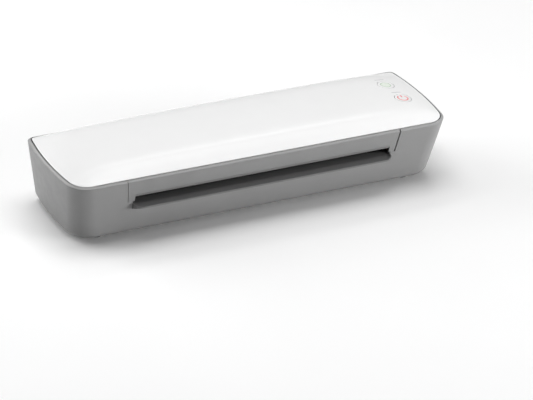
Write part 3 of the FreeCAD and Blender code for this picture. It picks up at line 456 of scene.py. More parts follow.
# Shares of the way from the cover's edge to its middle, closest together where it is steepest.
SHARES = [0.012, 0.022, 0.036, 0.054, 0.076, 0.102, 0.13, 0.16, 0.19, 0.22, 0.255, 0.295, 0.34, 0.39,
          0.45, 0.52, 0.6, 0.7, 0.8, 0.9, 1.0]


def make_top_cover():
    """Crowned lid with a rounded lip, an undercut skirt and bosses for the screws from below."""
    edge = outline(RIM_Z, COVER_INSET + LIP_SETBACK)
    rings = [on_cover(shrunk(edge, s)) for s in reversed(SHARES)]
    curves = [corner_curve(*points) for points in zip(rings[-1], on_cover(edge), on_cover(edge, 0.25))]
    rings += [list(ring) for ring in zip(*curves)][1:]
    skirt = outline(RIM_Z, SKIRT_INSET + LIP_SETBACK)
    rings.append(level(skirt, EDGE_Z - 0.1))
    skirt_z = EDGE_Z - SKIRT_DEPTH
    ease = 0.4
    rings.append(level(skirt, skirt_z + ease))
    rings.append(level(outline(RIM_Z, SKIRT_INSET + LIP_SETBACK + ease), skirt_z))
    inside = outline(RIM_Z, SKIRT_INSET + SKIRT_T)
    rings.append(level(inside, skirt_z))
    rings += [on_cover(shrunk(inside, s), COVER_T) for s in [0.0] + SHARES]
    cover = ring_stack("cover_shell", rings)
    adds = [boss(x, y, TOWER_TOP_Z + FIT_GAP, BOSS_R) for x, y in TOWERS]
    adds += [boss(x, y, PANEL_POST_Z, PANEL_POST_R) for x, y in PANEL_POSTS]
    combine(cover, adds, "UNION")
    cuts = [post("bore", x, y, 10, PILOT_TOP_Z, PILOT_R) for x, y in TOWERS]
    cuts += [post("bore", x, y, 54, PANEL_PILOT_TOP_Z, PANEL_PILOT_R) for x, y in PANEL_POSTS]
    cuts += [button_hole(x, y) for x, y in ((POWER_X, POWER_Y), (READY_X, READY_Y))]
    combine(cover, cuts, "DIFFERENCE")
    shade(cover)
    smooth_top(cover)
    return cover


def boss(x, y, z0, r):
    """Post from z0 up into the cover's wall."""
    return post("boss", x, y, z0, cover_z(x, y) - 1.0, r)


def ring_on_cover(x, y, r, drop, steps=96):
    """Circle about x, y that follows the cover's surface, a drop below it."""
    return [(px, py, cover_z(px, py) - drop) for px, py, _ in circle(x, y, 0, r, steps)]


def button_hole(x, y):
    """Round cutter that opens out a little at the cover's surface, so that the hole's edge is eased."""
    ease = 0.25
    steps = 4
    rings = [circle(x, y, 50, HOLE_R, 96)]
    for k in range(steps + 1):
        a = math.pi / 2 * k / steps
        rings.append(ring_on_cover(x, y, HOLE_R + ease * (1 - math.cos(a)), ease * (1 - math.sin(a))))
    rings.append(ring_on_cover(x, y, HOLE_R + ease, -2.0))
    return fan_stack("hole", rings)


def cover_normal(x, y):
    step = 0.05
    dx = (cover_z(x + step, y) - cover_z(x - step, y)) / (2 * step)
    dy = (cover_z(x, y + step) - cover_z(x, y - step)) / (2 * step)
    return Vector((-dx, -dy, 1)).normalized()


def smooth_top(obj):
    """Gives the crowned surface its exact normals, so that highlights run clean across it."""
    mesh = obj.data
    kept = [n.vector.copy() for n in mesh.corner_normals]
    for face in mesh.polygons:
        for k in face.loop_indices:
            p = mesh.vertices[mesh.loops[k].vertex_index].co / MM
            if p.z > EDGE_Z - 0.1 and abs(p.z - cover_z(p.x, p.y)) < 0.004:
                n = cover_normal(p.x, p.y)
                if n.dot(face.normal) > 0.97:
                    kept[k] = n
    mesh.normals_split_custom_set(kept)


# --------------------------------------------------------------------- housing
def rim_profile():
    """Distances in from the wall and heights, round the rim, up the bevel and over its top edge."""
    foot = corner_curve((0, RIM_Z - EASE_UNDER), (0, RIM_Z), (EASE_OVER, RIM_Z + EASE_OVER * BEVEL_SLOPE))
    before_top = (BEVEL_IN - EASE_TOP, EDGE_Z - EASE_TOP * BEVEL_SLOPE)
    return foot + corner_curve(before_top, (BEVEL_IN, EDGE_Z), (WALL, EDGE_Z - EASE_TOP))


def make_lower_housing():
    """Hollow tub with a rounded foot and a bevelled rim, its posts and its openings."""
    base_edge = outline(BASE_Z, BOTTOM_R)
    rings = [level(shrunk(base_edge, 1.0), BASE_Z), level(base_edge, BASE_Z)]
    arc_steps = 7
    for k in range(1, arc_steps + 1):
        a = math.pi / 2 * (1 - k / arc_steps)
        z = BASE_Z + BOTTOM_R * (1 - math.sin(a))
        rings.append(level(outline(z, BOTTOM_R * (1 - math.cos(a))), z))
    z_low = BASE_Z + BOTTOM_R
    z_high = RIM_Z - EASE_UNDER
    wall_steps = 12
    for k in range(1, wall_steps):
        z = z_low + (z_high - z_low) * k / wall_steps
        rings.append(level(outline(z), z))
    rings += [level(outline(z, offset), z) for offset, z in rim_profile()]
    rings += [level(outline(z, WALL), z) for z in (RIM_Z, 47.0, 38.0, 29.0, 20.0, 13.0)]
    inner_r = BOTTOM_R - WALL
    for k in range(arc_steps + 1):
        a = math.pi / 2 * k / arc_steps
        z = FLOOR_Z + inner_r * (1 - math.sin(a))
        rings.append(level(outline(z, WALL + inner_r * (1 - math.cos(a))), z))
    rings.append(level(shrunk(outline(FLOOR_Z, BOTTOM_R), 1.0), FLOOR_Z))
    tub = ring_stack("housing_tub", rings)
    rooted_z = BASE_Z + 0.5
    adds = [post("tower", x, y, rooted_z, TOWER_TOP_Z, TOWER_R) for x, y in TOWERS]
    adds += [post("pillar", x, y, rooted_z, PILLAR_TOP_Z, PILLAR_R) for x, y in CHASSIS_SCREWS]
    adds += [post("pillar", x, y, rooted_z, BOARD_POST_TOP_Z, BOARD_POST_R) for x, y in BOARD_POSTS]
    combine(tub, [join(adds)], "UNION")
    cut_housing(tub)
    shade(tub)
    return tub


def trim_half(z):
    """Half length of the tapering trim at a height."""
    share = (z - TRIM_FOOT_Z) / (RIM_Z - TRIM_FOOT_Z)
    return TRIM_FOOT_HALF + (TRIM_TOP_HALF - TRIM_FOOT_HALF) * share


def trim_window(z0, z1):
    """Cutter for the tapering opening that the trim stands in."""
    y0 = FRONT_Y - OUTSIDE
    rings = []
    for z in (z0, z1):
        half = trim_half(z) + TRIM_GAP
        rings.append([(-half, y0, z), (half, y0, z), (half, WINDOW_BACK_Y, z), (-half, WINDOW_BACK_Y, z)])
    return fan_stack("cut", rings)


def cut_housing(tub):
    """Cuts the front window, the rear openings, the screw holes, the feet's seats and the vents."""
    shelf_half = SHELF_HALF + FIT_GAP
    entry_half = ENTRY_HALF + FIT_GAP
    window = trim_window(TRIM_FOOT_Z - FIT_GAP, EDGE_Z + OUTSIDE)
    shelf = block("cut", -shelf_half, shelf_half, FRONT_Y - OUTSIDE, WINDOW_BACK_Y,
                  SHELF_Z - SHELF_T - FIT_GAP, TRIM_FOOT_Z + 1)
    combine(tub, [window, shelf], "DIFFERENCE")
    rear = [block("cut", -entry_half, entry_half, *REAR_CUT, ENTRY_Z0 - FIT_GAP, ENTRY_Z1 + FIT_GAP)]
    rear.append(drum_y("cut", GLAND_X, *REAR_CUT, GLAND_Z, GLAND_R))
    blind_z = BASE_Z + 1.2
    bores = [post("cut", x, y, 0, HEAD_SEAT_Z, HEAD_R) for x, y in TOWERS]
    bores += [post("cut", x, y, blind_z, PILLAR_TOP_Z + 1, PILOT_R) for x, y in CHASSIS_SCREWS]
    bores += [post("cut", x, y, blind_z, BOARD_POST_TOP_Z + 1, BOARD_PILOT_R) for x, y in BOARD_POSTS]
    bores += [post("cut", x, y, 0, FOOT_SEAT_Z, FOOT_R, 64) for x, y in FEET]
    vents = [vent(i * VENT_PITCH) for i in range(-8, 9)]
    combine(tub, [join(rear + bores + vents)], "DIFFERENCE")
    shanks = [post("cut", x, y, HEAD_SEAT_Z - 1, TOWER_TOP_Z + 1, SHANK_R) for x, y in TOWERS]
    combine(tub, [join(shanks)], "DIFFERENCE")


def vent(x):
    """Cutter for a long slot with round ends in the floor."""
    r = 1.5
    y0, y1 = VENT_RUN
    steps = 12
    turn = math.pi / steps
    path = [(x + r * math.cos(k * turn), y1 + r * math.sin(k * turn)) for k in range(steps + 1)]
    path += [(x - r * math.cos(k * turn), y0 - r * math.sin(k * turn)) for k in range(steps + 1)]
    return fan_stack("cut", [level(path, 0), level(path, FLOOR_Z + 1)])


# ------------------------------------------------------------------ front trim
def lip_roll():
    """Profile of the trim's rounded lower edge, from the wall down to the slot."""
    y_lip = front_wall_y(LIP_Z)
    lean = math.atan((y_lip - front_wall_y(LIP_Z + LIP_ROLL_R)) / LIP_ROLL_R)
    y_centre = y_lip + LIP_ROLL_R * math.tan(math.pi / 4 - lean / 2)
    steps = 12
    profile = []
    for k in range(steps + 1):
        a = (math.pi / 2 - lean) * (1 - k / steps)
        profile.append((y_centre - LIP_ROLL_R * math.sin(a), LIP_Z + LIP_ROLL_R * (1 - math.cos(a))))
    return profile


def make_front_trim():
    """Middle of the front wall: tapered ends, the housing's rim, and a rolled lip over the slot."""
    steps = 10
    outer_z = [TRIM_FOOT_Z + (RIM_Z - EASE_UNDER - TRIM_FOOT_Z) * k / steps for k in range(steps + 1)]
    inner_z = [RIM_Z - (RIM_Z - TRIM_FOOT_Z) * k / steps for k in range(steps + 1)]
    profile = [(front_wall_y(z), z) for z in outer_z]
    profile += [(FRONT_Y + offset, z) for offset, z in rim_profile()[1:]]
    profile += [(front_wall_y(z) + WALL, z) for z in inner_z]
    trim = prism_x("trim_band", profile, -1, 1)
    for vertex in trim.data.vertices:
        side = 1 if vertex.co.x > 0 else -1
        vertex.co.x = (side * trim_half(vertex.co.z / MM) + TRIM_SHIFT) * MM
    roll = lip_roll()
    guide_y = front_wall_y(LIP_Z) + 1.5
    guide = block("guide", -SLOT_HALF, SLOT_HALF, guide_y, GUIDE_BACK_Y, LIP_Z - 1, LIP_Z + LIP_ROLL_R + 1)
    combine(trim, [guide], "UNION")
    y_out, y_in, z_under = FRONT_Y - 10, -38, 30
    mouth = [(y_out, z_under), (y_out, roll[0][1])] + roll + [(y_in, LIP_Z), (y_in, z_under)]
    combine(trim, [prism_x("cut", mouth, -SLOT_HALF, SLOT_HALF)], "DIFFERENCE")
    soften(trim, 0.22, segments=2)
    shade(trim, 40)
    return trim


# ------------------------------------------------------------------ exit guide
def tray_plan(offset, z0, z1):
    """Upright block over the exit guide's plan, its outer corners round, moved inwards by offset."""
    half = SHELF_HALF - offset
    y0 = front_wall_y(SHELF_Z) - SHELF_OUT + offset
    r = SHELF_CORNER_R - offset
    steps = 16
    right = []
    for k in range(steps + 1):
        a = math.pi / 2 * k / steps
        right.append((half - r + r * math.sin(a), y0 + r - r * math.cos(a)))
    right.append((half, SHELF_BACK_Y + offset))
    points = right + [(-x, y) for x, y in reversed(right)]
    return fan_stack("plan", [level(points, z0), level(points, z1)])


def make_exit_guide():
    """Shallow tray with a fine raised rim that slopes down outwards, and a wedge under it."""
    y_wall = front_wall_y(SHELF_Z)
    y_tip = y_wall - SHELF_OUT
    z_low = SHELF_Z - SHELF_T
    z_heel = z_low - 4.5
    z_tip = SHELF_Z - SHELF_SLOPE * SHELF_OUT
    lip = 1.2
    rim = 1.1
    depth = 0.65
    under = corner_curve((y_tip, z_tip - lip), ((y_tip + y_wall) / 2, z_tip - 2.0),
                         (front_wall_y(z_heel) - FIT_GAP, z_heel))
    profile = [(SHELF_BACK_Y, SHELF_Z), (y_wall, SHELF_Z), (y_tip, z_tip)] + under
    profile += [(front_wall_y(z_low) - FIT_GAP, z_low), (SHELF_BACK_Y, z_low)]
    tray = prism_x("guide_tray", profile, -SHELF_HALF, SHELF_HALF)
    combine(tray, [tray_plan(0, z_heel - 1, SHELF_Z + 1)], "INTERSECT")
    y_in = SHELF_BACK_Y + 5
    hollow = [(y_in, SHELF_Z - depth), (y_wall, SHELF_Z - depth), (y_tip, z_tip - depth),
              (y_tip, SHELF_Z + 1), (y_in, SHELF_Z + 1)]
    trough = prism_x("trough", hollow, -SHELF_HALF, SHELF_HALF)
    combine(trough, [tray_plan(rim, z_heel - 1, SHELF_Z + 2)], "INTERSECT")
    combine(tray, [trough], "DIFFERENCE")
    soften(tray, 0.2, segments=2)
    shade(tray, 40)
    return tray


# ----------------------------------------------------------------- entry guide
def rounded_slab(name, half, z0, z1, y0, y1, r, flare=0.0):
    """Bar along Y with round upright corners; its far end may flare out."""
    steps = 8
    rings = []
    for y, grow in ((y0, 0.0), (y1, flare)):
        side, low, high = half + grow - r, z0 - grow + r, z1 + grow - r
        ring = []
        for cx, cz, start in ((side, high, 0), (-side, high, 90), (-side, low, 180), (side, low, 270)):
            for k in range(steps + 1):
                a = math.radians(start + 90 * k / steps)
                ring.append((cx + r * math.cos(a), y, cz + r * math.sin(a)))
        rings.append(ring)
    return fan_stack(name, rings)


def make_entry_guide():
    """Frame with round corners that laps over the rear wall, and the flared throat inside it."""
    y_out = REAR_Y + REAR_BOW + 3.0
    heights = (20.0, 29.0, 38.0, 47.0, RIM_Z)
    proud = 1.2
    lap = fan_stack("guide_lap", [level(outline(z, -proud), z) for z in heights])
    zone = rounded_slab("zone", ENTRY_HALF + ENTRY_FRAME, ENTRY_Z0 - ENTRY_FRAME, ENTRY_Z1 + ENTRY_FRAME,
                        40, y_out, 3.0)
    combine(lap, [zone], "INTERSECT")
    soften(lap, 0.5, 50)
    wall = fan_stack("wall", [level(outline(z), z) for z in heights])
    combine(lap, [wall], "DIFFERENCE")
    neck = block("neck", -ENTRY_HALF, ENTRY_HALF, ENTRY_BACK_Y, REAR_Y + proud, ENTRY_Z0, ENTRY_Z1)
    combine(lap, [neck], "UNION")
    throat = rounded_slab("throat", SLOT_HALF - 0.5, 35.9, 40.4, ENTRY_BACK_Y - 1, 48.0, 0.4, 0.8)
    mouth = rounded_slab("mouth", SLOT_HALF - 0.2, 35.2, 41.1, 46.0, y_out, 0.6, 1.8)
    combine(lap, [throat, mouth], "DIFFERENCE")
    soften(lap, 0.15, 50, 2)
    shade(lap, 40)
    return lap


# --------------------------------------------------------------------- buttons
def cap_rings(x, y, drop):
    """Rings of a round cap that continues the cover's surface, from its middle down to its flange."""
    under = COVER_T + drop
    bottom = under + 1.1
    profile = [(r, BUTTON_DISH) for r in (0.6, 1.6, 2.8, 4.0, 5.0)]
    profile += [(5.7, BUTTON_DISH * 0.75), (6.2, BUTTON_DISH * 0.3), (6.5, 0.02)]
    profile += corner_curve((BUTTON_R - 0.4, 0.0), (BUTTON_R, 0.0), (BUTTON_R, 0.4))
    profile += [(BUTTON_R, under), (FLANGE_R - 0.2, under), (FLANGE_R, under + 0.2), (FLANGE_R, bottom)]
    profile.append((STEM_R, bottom))
    return [ring_on_cover(x, y, r, down) for r, down in profile]


def make_power_button():
    """Cap with a stem that stands on the switch's plunger."""
    rings = cap_rings(POWER_X, POWER_Y, 0.15) + [circle(POWER_X, POWER_Y, STEM_Z, STEM_R, 96)]
    button = fan_stack("power_cap", rings)
    shade(button)
    return button


def make_ready_lens():
    """Cap over the ready lamp, fixed in the cover."""
    lens = fan_stack("ready_cap", cap_rings(READY_X, READY_Y, 0.1))
    shade(lens)
    return lens


# -------------------------------------------------------------------- springs
def make_spring(side):
    """Round wire spring over a pressure block."""
    steps = 28 * SPRING_TURNS
    around = 10
    low = SPRING_Z0 + SPRING_WIRE_R + SPRING_GAP
    high = SPRING_Z1 - SPRING_WIRE_R - SPRING_GAP
    climb = (high - low) / (2 * math.pi * SPRING_TURNS)
    rings = []
    for k in range(steps + 1):
        a = 2 * math.pi * SPRING_TURNS * k / steps
        out = Vector((math.cos(a) * side, math.sin(a), 0))
        way = Vector((-out.y * side * SPRING_COIL_R, out.x * side * SPRING_COIL_R, climb)).normalized()
        up = out.cross(way).normalized()
        middle = Vector((side * SPRING_X, SPRING_Y, low + climb * a)) + out * SPRING_COIL_R
        ring = []
        for n in range(around):
            b = 2 * math.pi * n / around
            ring.append(tuple(middle + (out * math.cos(b) + up * math.sin(b)) * SPRING_WIRE_R))
        rings.append(ring)
    spring = fan_stack("pressure_coil", rings)
    shade(spring, 50)
    return spring


# ----------------------------------------------------------------------- marks
def printed(name, path, width, base_drop=0.0, closed=False):
    """Thin raised line along a path of (x, y) points on the cover's surface."""
    bm = bmesh.new()
    rows = []
    count = len(path)
    top = [(-1.0, MARK_H * 0.6), (-0.8, MARK_H), (0.8, MARK_H), (1.0, MARK_H * 0.6)]
    section = [(-1.0, -MARK_SINK)] + top + [(1.0, -MARK_SINK)]
    for k, (x, y) in enumerate(path):
        before = Vector(path[(k - 1) % count] if closed or k > 0 else path[0])
        after = Vector(path[(k + 1) % count] if closed or k < count - 1 else path[-1])
        way = (after - before).normalized()
        side = Vector((-way.y, way.x)) * width / 2
        row = []
        for s, up in section:
            px, py = x + side.x * s, y + side.y * s
            row.append(bm.verts.new(Vector((px, py, cover_z(px, py) - base_drop + up)) * MM))
        rows.append(row)
    pairs = list(zip(rows, rows[1:])) + ([(rows[-1], rows[0])] if closed else [])
    for a, b in pairs:
        for i in range(len(section)):
            j = (i + 1) % len(section)
            bm.faces.new((a[i], a[j], b[j], b[i]))
    if not closed:
        bm.faces.new(rows[0])
        bm.faces.new(list(reversed(rows[-1])))
    obj = new_object(name, bm)
    shade(obj, 60)
    return obj


def arc_path(x, y, r, start, end, steps):
    """Points on a circle from one heading to another, in degrees from +X."""
    return [(x + r * math.cos(math.radians(start + (end - start) * k / steps)),
             y + r * math.sin(math.radians(start + (end - start) * k / steps))) for k in range(steps + 1)]


def straight(x0, y0, x1, y1, steps=6):
    return [(x0 + (x1 - x0) * k / steps, y0 + (y1 - y0) * k / steps) for k in range(steps + 1)]


def caption_dash(name, x, y):
    """Short dash behind a cap, where its caption would be."""
    y_dash = y + 10.6
    return printed(name, straight(x - 5.0, y_dash, x + 3.5, y_dash), 0.8)


def make_marks():
    """Plain power and ready signs on the caps, and their dashes: each with its ink and its body."""
    x, y, line = POWER_X, POWER_Y, 0.95
    ring = printed("power_sign_ring", arc_path(x, y, 4.35, 128, 412, 48), line, BUTTON_DISH)
    bar = printed("power_sign_bar", straight(x, y + 1.2, x, y + 5.0), line, BUTTON_DISH)
    x, y = READY_X, READY_Y
    ready = printed("ready_sign_ring", arc_path(x, y, 4.2, 0, 360 - 7.5, 47), 0.55, BUTTON_DISH, True)
    return [
        (ring, "power_ink", "power_key"),
        (bar, "power_ink", "power_key"),
        (ready, "ready_ink", "chassis"),
        (caption_dash("power_dash", POWER_X, POWER_Y), "caption_ink", "chassis"),
        (caption_dash("ready_dash", READY_X, READY_Y), "caption_ink", "chassis"),
        (ready_disc(), "ready_tint", "chassis"),
    ]


def ready_disc():
    """Pale green printed disc inside the ready ring."""
    proud = 0.025
    profile = [(3.9, -MARK_SINK), (3.9, 0.015)] + [(r, proud) for r in (3.8, 2.6, 1.2)]
    rings = [ring_on_cover(READY_X, READY_Y, r, BUTTON_DISH - up, 64) for r, up in profile]
    disc = fan_stack("ready_sign_disc", rings)
    shade(disc, 60)
    return disc


# ------------------------------------------------------------------- materials
def new_material(name):
    mat = bpy.data.materials.new(name)
    mat.use_nodes = True
    tree = mat.node_tree
    return mat, tree, tree.nodes["Principled BSDF"]


def place_node(tree, stretch=(1, 1, 1)):
    """Object coordinates in metres, stretched for directional grain."""
    coord = tree.nodes.new("ShaderNodeTexCoord")
    mapping = tree.nodes.new("ShaderNodeMapping")
    mapping.inputs["Scale"].default_value = stretch
    tree.links.new(coord.outputs["Object"], mapping.inputs["Vector"])
    return mapping.outputs["Vector"]


def noise(tree, where, scale, detail=3.0, rough=0.55):
    node = tree.nodes.new("ShaderNodeTexNoise")
    node.inputs["Scale"].default_value = scale
    node.inputs["Detail"].default_value = detail
    node.inputs["Roughness"].default_value = rough
    tree.links.new(where, node.inputs["Vector"])
    return node.outputs["Fac"]


def remap(tree, value, low, high, new_low, new_high):
    node = tree.nodes.new("ShaderNodeMapRange")
    node.inputs["From Min"].default_value = low
    node.inputs["From Max"].default_value = high
    node.inputs["To Min"].default_value = new_low
    node.inputs["To Max"].default_value = new_high
    tree.links.new(value, node.inputs["Value"])
    return node.outputs["Result"]


def feed(tree, value, socket):
    """Sets a number or a colour on a socket, or links another node's output to it."""
    if isinstance(value, bpy.types.NodeSocket):
        tree.links.new(value, socket)
    elif isinstance(value, tuple):
        socket.default_value = (*value, 1)
    else:
        socket.default_value = value


def blend_colours(tree, factor, a, b):
    """Colour between a and b; each of the three may be a value or another node's output."""
    node = tree.nodes.new("ShaderNodeMix")
    node.data_type = "RGBA"
    for value, socket in ((factor, "Factor"), (a, "A"), (b, "B")):
        feed(tree, value, node.inputs[socket])
    return node.outputs["Result"]


def recolour(mat, factor, layer):
    """Lays another colour over a material's own, by a factor."""
    tree = mat.node_tree
    base = tree.nodes["Principled BSDF"].inputs["Base Color"]
    tree.links.new(blend_colours(tree, factor, base.links[0].from_socket, layer), base)


def tint(colour, k):
    return tuple(min(1.0, c * k) for c in colour)


def surface(name, colour, rough, metal=0.0, mottle=0.04, mottle_scale=35.0, rough_spread=0.06,
            grain=2600.0, bump=0.15, depth=0.05, stretch=(1, 1, 1), specular=0.5, coat=0.0):
    """Moulded or machined surface: soft mottling, uneven polish and a fine grain in relief."""
    mat, tree, shader = new_material(name)
    where = place_node(tree, stretch)
    cloud = noise(tree, where, mottle_scale)
    fine = noise(tree, where, grain, 2.0)
    factor = remap(tree, cloud, 0.3, 0.7, 0.0, 1.0)
    both = blend_colours(tree, factor, tint(colour, 1 - mottle), tint(colour, 1 + mottle))
    tree.links.new(both, shader.inputs["Base Color"])
    polish = noise(tree, where, mottle_scale * 4.3, 4.0)
    tree.links.new(remap(tree, polish, 0.3, 0.7, rough - rough_spread, rough + rough_spread),
                   shader.inputs["Roughness"])
    relief = tree.nodes.new("ShaderNodeBump")
    relief.inputs["Strength"].default_value = bump
    relief.inputs["Distance"].default_value = depth * MM
    tree.links.new(fine, relief.inputs["Height"])
    tree.links.new(relief.outputs["Normal"], shader.inputs["Normal"])
    shader.inputs["Metallic"].default_value = metal
    shader.inputs["Specular IOR Level"].default_value = specular
    shader.inputs["Coat Weight"].default_value = coat
    shader.inputs["Coat Roughness"].default_value = 0.08
    return mat


def board(name, colour):
    """Solder mask with faint copper tracks showing through it."""
    mat = surface(name, colour, 0.35, mottle=0.08, mottle_scale=60, bump=0.1)
    tree = mat.node_tree
    brick = tree.nodes.new("ShaderNodeTexBrick")
    brick.inputs["Scale"].default_value = 90.0
    brick.inputs["Mortar Size"].default_value = 0.035
    brick.inputs["Color1"].default_value = (*tint(colour, 0.9), 1)
    brick.inputs["Color2"].default_value = (*tint(colour, 1.1), 1)
    brick.inputs["Mortar"].default_value = (*tint(colour, 1.9), 1)
    tree.links.new(place_node(tree), brick.inputs["Vector"])
    recolour(mat, 0.5, brick.outputs["Color"])
    return mat


def housing_plastic(name, colour):
    """Satin grey plastic, with a painted highlight: its colour is made lighter along the bevelled rim."""
    mat = surface(name, colour, 0.42, mottle=0.025, rough_spread=0.05, grain=3200, bump=0.22, depth=0.04)
    tree = mat.node_tree
    parts = tree.nodes.new("ShaderNodeSeparateXYZ")
    tree.links.new(place_node(tree), parts.inputs["Vector"])
    # Painted highlight: the colour turns lighter over the bevel above the rim, standing in for the light that
    # the bevel catches.
    rim = remap(tree, parts.outputs["Z"], (RIM_Z - 0.1) * MM, (RIM_Z + 0.5) * MM, 0.0, 1.0)
    recolour(mat, rim, tint(colour, 1.4))
    return mat


def gloss_white(name):
    """Glossy white plastic, almost even."""
    return surface(name, (0.83, 0.83, 0.83), 0.24, mottle=0.008, rough_spread=0.03, grain=1500, bump=0.03,
                   depth=0.03, specular=0.35)


def glass(name):
    mat = surface(name, (0.86, 0.9, 0.9), 0.05, mottle=0.02, rough_spread=0.02, bump=0.02)
    shader = mat.node_tree.nodes["Principled BSDF"]
    shader.inputs["Transmission Weight"].default_value = 0.85
    shader.inputs["IOR"].default_value = 1.47
    return mat


def make_materials():
    """One material for each slot of the record."""
    across = (1, 0.03, 0.03)
    length = (0.04, 1, 1)
    return {
        "cover_white": gloss_white("cover_white"),
        "housing_grey": housing_plastic("housing_grey", (0.22, 0.22, 0.22)),
        "guide_black": surface("guide_black", (0.022, 0.023, 0.026), 0.34, mottle=0.15, grain=3600,
                               bump=0.25),
        "button_white": gloss_white("button_white"),
        "foot_rubber": surface("foot_rubber", (0.07, 0.07, 0.07), 0.75, mottle=0.2, grain=2400, bump=0.4),
        "zinc_sheet": surface("zinc_sheet", (0.62, 0.64, 0.66), 0.3, 1.0, 0.1, 120, 0.08, 900, 0.1, 0.03),
        "ground_steel": surface("ground_steel", (0.6, 0.6, 0.61), 0.28, 1.0, 0.06, 80, 0.08, 5200, 0.25, 0.02,
                                across),
        "screw_steel": surface("screw_steel", (0.55, 0.56, 0.58), 0.3, 1.0, 0.1, 300, 0.08, 4200, 0.2, 0.02),
        "heater_aluminium": surface("heater_aluminium", (0.76, 0.77, 0.78), 0.36, 1.0, 0.05, 40, 0.08,
                                    4200, 0.3, 0.03, length),
        "element_film": surface("element_film", (0.55, 0.26, 0.05), 0.3, 0.0, 0.15, 200, 0.06, 1800, 0.1),
        "insulator_brown": surface("insulator_brown", (0.16, 0.075, 0.04), 0.5, 0.0, 0.2, 160, 0.08, 2600,
                                   0.3),
        "silicone_grey": surface("silicone_grey", (0.05, 0.05, 0.05), 0.58, 0.0, 0.1, 50, 0.08, 1900, 0.35),
        "gear_nylon": surface("gear_nylon", (0.78, 0.76, 0.7), 0.42, 0.0, 0.04, 150, 0.06, 2600, 0.15),
        "bush_bronze": surface("bush_bronze", (0.5, 0.31, 0.14), 0.42, 1.0, 0.15, 500, 0.1, 5200, 0.4, 0.03),
        "spring_wire": surface("spring_wire", (0.48, 0.48, 0.5), 0.3, 1.0, 0.1, 400, 0.08, 6000, 0.2, 0.02),
        "motor_can": surface("motor_can", (0.5, 0.51, 0.53), 0.38, 1.0, 0.08, 90, 0.1, 3400, 0.2, 0.03),
        "board_green": board("board_green", (0.02, 0.13, 0.05)),
        "part_yellow": surface("part_yellow", (0.7, 0.45, 0.04), 0.3, 0.0, 0.05, 200),
        "part_blue": surface("part_blue", (0.025, 0.07, 0.3), 0.28, 0.0, 0.06, 200),
        "part_black": surface("part_black", (0.02, 0.02, 0.022), 0.45, 0.0, 0.15, 200, 0.08, 3000, 0.3),
        "terminal_green": surface("terminal_green", (0.03, 0.2, 0.1), 0.4, 0.0, 0.08, 200),
        "fuse_glass": glass("fuse_glass"),
        "led_lens": surface("led_lens", (0.7, 0.85, 0.72), 0.25, 0.0, 0.03, 300),
    }


def make_inks():
    def ink(name, colour):
        return surface(name, colour, 0.4, mottle=0.06, mottle_scale=600, grain=5000, bump=0.2, depth=0.01)

    return {
        "power_ink": ink("power_ink", (0.78, 0.16, 0.17)),
        "ready_ink": ink("ready_ink", (0.36, 0.5, 0.34)),
        "ready_tint": ink("ready_tint", (0.76, 0.81, 0.74)),
        "caption_ink": ink("caption_ink", (0.42, 0.43, 0.44)),
    }


# ----------------------------------------------------------------- the machine
def dress(obj, material):
    """One material all over an object."""
    obj.data.materials.clear()
    obj.data.materials.append(material)


def paint_nodes(materials, slots):
    """Gives every CAD node the material of its slot."""
    for name, node in frame["nodes"].items():
        if not node.material_slots:
            node.data.materials.append(materials[slots[name]])
        for material_slot in node.material_slots:
            material_slot.material = materials[slots[name]]


def add_piece(piece, name, body, material):
    """Puts a finer piece in the place of a CAD node."""
    dress(piece, material)
    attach(piece, body)
    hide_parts(name)


def add_casing(materials, slots):
    # Painted shade: the exit guide is the housing's grey plastic, coloured darker to stand in for the shadow
    # that falls over its tray.
    tray_painted_shade = surface("tray_painted_shade", (0.13, 0.13, 0.13), 0.4, mottle=0.05, grain=3200, bump=0.22, depth=0.04)
    makers = {
        "top_cover": (make_top_cover, "chassis"),
        "lower_housing": (make_lower_housing, "chassis"),
        "front_trim": (make_front_trim, "chassis"),
        "exit_guide": (make_exit_guide, "chassis"),
        "entry_guide": (make_entry_guide, "chassis"),
        "power_button": (make_power_button, "power_key"),
        "ready_lens": (make_ready_lens, "chassis"),
    }
    for name, (maker, body) in makers.items():
        # The exit guide takes the darker painted-shade grey instead of its slot's material.
        material = tray_painted_shade if name == "exit_guide" else materials[slots[name]]
        add_piece(maker(), name, body, material)


def add_springs(materials, slots):
    """The two pressure springs, each with a mesh of its own."""
    for name, side in (("left_pressure_spring", -1), ("right_pressure_spring", 1)):
        spring = make_spring(side)
        add_piece(spring, name, "chassis", materials[slots[name]])
        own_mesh(spring)


def build():
    materials = make_materials()
    inks = make_inks()
    slots = {part["node"]: part["material_slot"] for part in frame["record"]["subparts"]}
    paint_nodes(materials, slots)
    add_casing(materials, slots)
    add_springs(materials, slots)
    for piece, ink, body in make_marks():
        dress(piece, inks[ink])
        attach(piece, body)


# ------------------------------------------------------------- stage and light
FLOOR_HALF_M = 6.0
FLOOR_DROP = 0.2         # the floor lies this far under the feet


def make_stage():
    bm = bmesh.new()
    bmesh.ops.create_grid(bm, x_segments=1, y_segments=1, size=FLOOR_HALF_M)
    bmesh.ops.translate(bm, verts=bm.verts, vec=(0, 0, -FLOOR_DROP * MM))
    floor = new_object("floor", bm)
    floor.data.materials.append(surface("floor_white", (0.93, 0.93, 0.93), 0.6, mottle=0.004, mottle_scale=2,
                                        grain=300, bump=0.02))


def softbox(name, place, target, width, height, power):
    """Rectangular lamp; places and sizes in metres, power in watts."""
    data = bpy.data.lights.new(name, "AREA")
    data.shape = "RECTANGLE"
    data.size = width
    data.size_y = height
    data.energy = power
    lamp = bpy.data.objects.new(name, data)
    bpy.context.scene.collection.objects.link(lamp)
    lamp.location = place
    lamp.rotation_euler = (Vector(target) - Vector(place)).to_track_quat("-Z", "Y").to_euler()


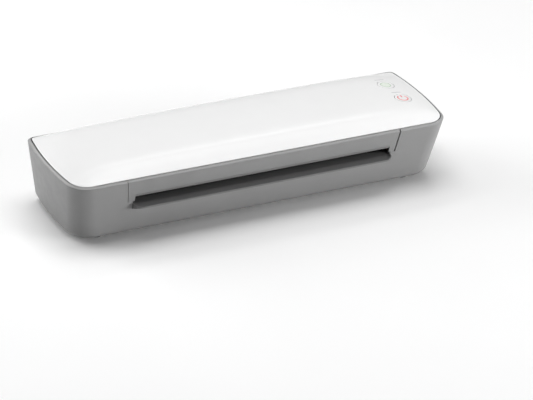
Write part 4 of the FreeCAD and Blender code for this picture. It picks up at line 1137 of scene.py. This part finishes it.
def light():
    world = bpy.data.worlds.new("studio")
    world.use_nodes = True
    back = world.node_tree.nodes["Background"]
    back.inputs["Color"].default_value = (1, 1, 1, 1)
    back.inputs["Strength"].default_value = 0.04
    bpy.context.scene.world = world
    middle = (0, 0, 0.04)
    softbox("top", (0, 0.1, 1.7), middle, 1.4, 1.0, 18.5)
    softbox("left_rear", (-1.1, 1.0, 0.6), middle, 1.2, 0.9, 15.5)
    softbox("front_right", (1.15, -1.05, 0.3), middle, 0.9, 0.5, 22.0)
    softbox("right", (1.3, 0, 0.6), middle, 0.8, 0.6, 0.8)
    softbox("ridge", (-0.2, 0.85, 1.45), middle, 2.6, 0.3, 8.0)
    bpy.context.scene.view_settings.view_transform = "Standard"


# Viewing direction in degrees and distance in millimetres; the lens is a multiple of the picture's width.
VIEW_AZIMUTH = 27.816
VIEW_ELEVATION = 28.323
VIEW_ROLL = 2.999
VIEW_DISTANCE = 3293.6
VIEW_SIDE = 26.46
VIEW_RISE = -9.86
VIEW_Y = 3.05
LENS_WIDTHS = 7.4474
SENSOR = 36.0


def camera():
    az = math.radians(VIEW_AZIMUTH)
    el = math.radians(VIEW_ELEVATION)
    roll = math.radians(VIEW_ROLL)
    ahead = Vector((math.sin(az) * math.cos(el), math.cos(az) * math.cos(el), -math.sin(el)))
    right = Vector((math.cos(az), -math.sin(az), 0))
    up = right.cross(ahead)
    side = right * math.cos(roll) + up * math.sin(roll)
    rise = up * math.cos(roll) - right * math.sin(roll)
    place = ahead * -VIEW_DISTANCE + side * VIEW_SIDE + rise * VIEW_RISE + Vector((0, VIEW_Y, 0))
    data = bpy.data.cameras.new("camera")
    data.sensor_width = SENSOR
    data.lens = SENSOR * LENS_WIDTHS
    data.clip_start = 0.05
    data.clip_end = 60
    eye = bpy.data.objects.new("camera", data)
    bpy.context.scene.collection.objects.link(eye)
    turn = Matrix((side, rise, -ahead)).transposed().to_4x4()
    eye.matrix_world = Matrix.Translation(place * MM) @ turn
    bpy.context.scene.camera = eye


build()
make_stage()
light()
camera()
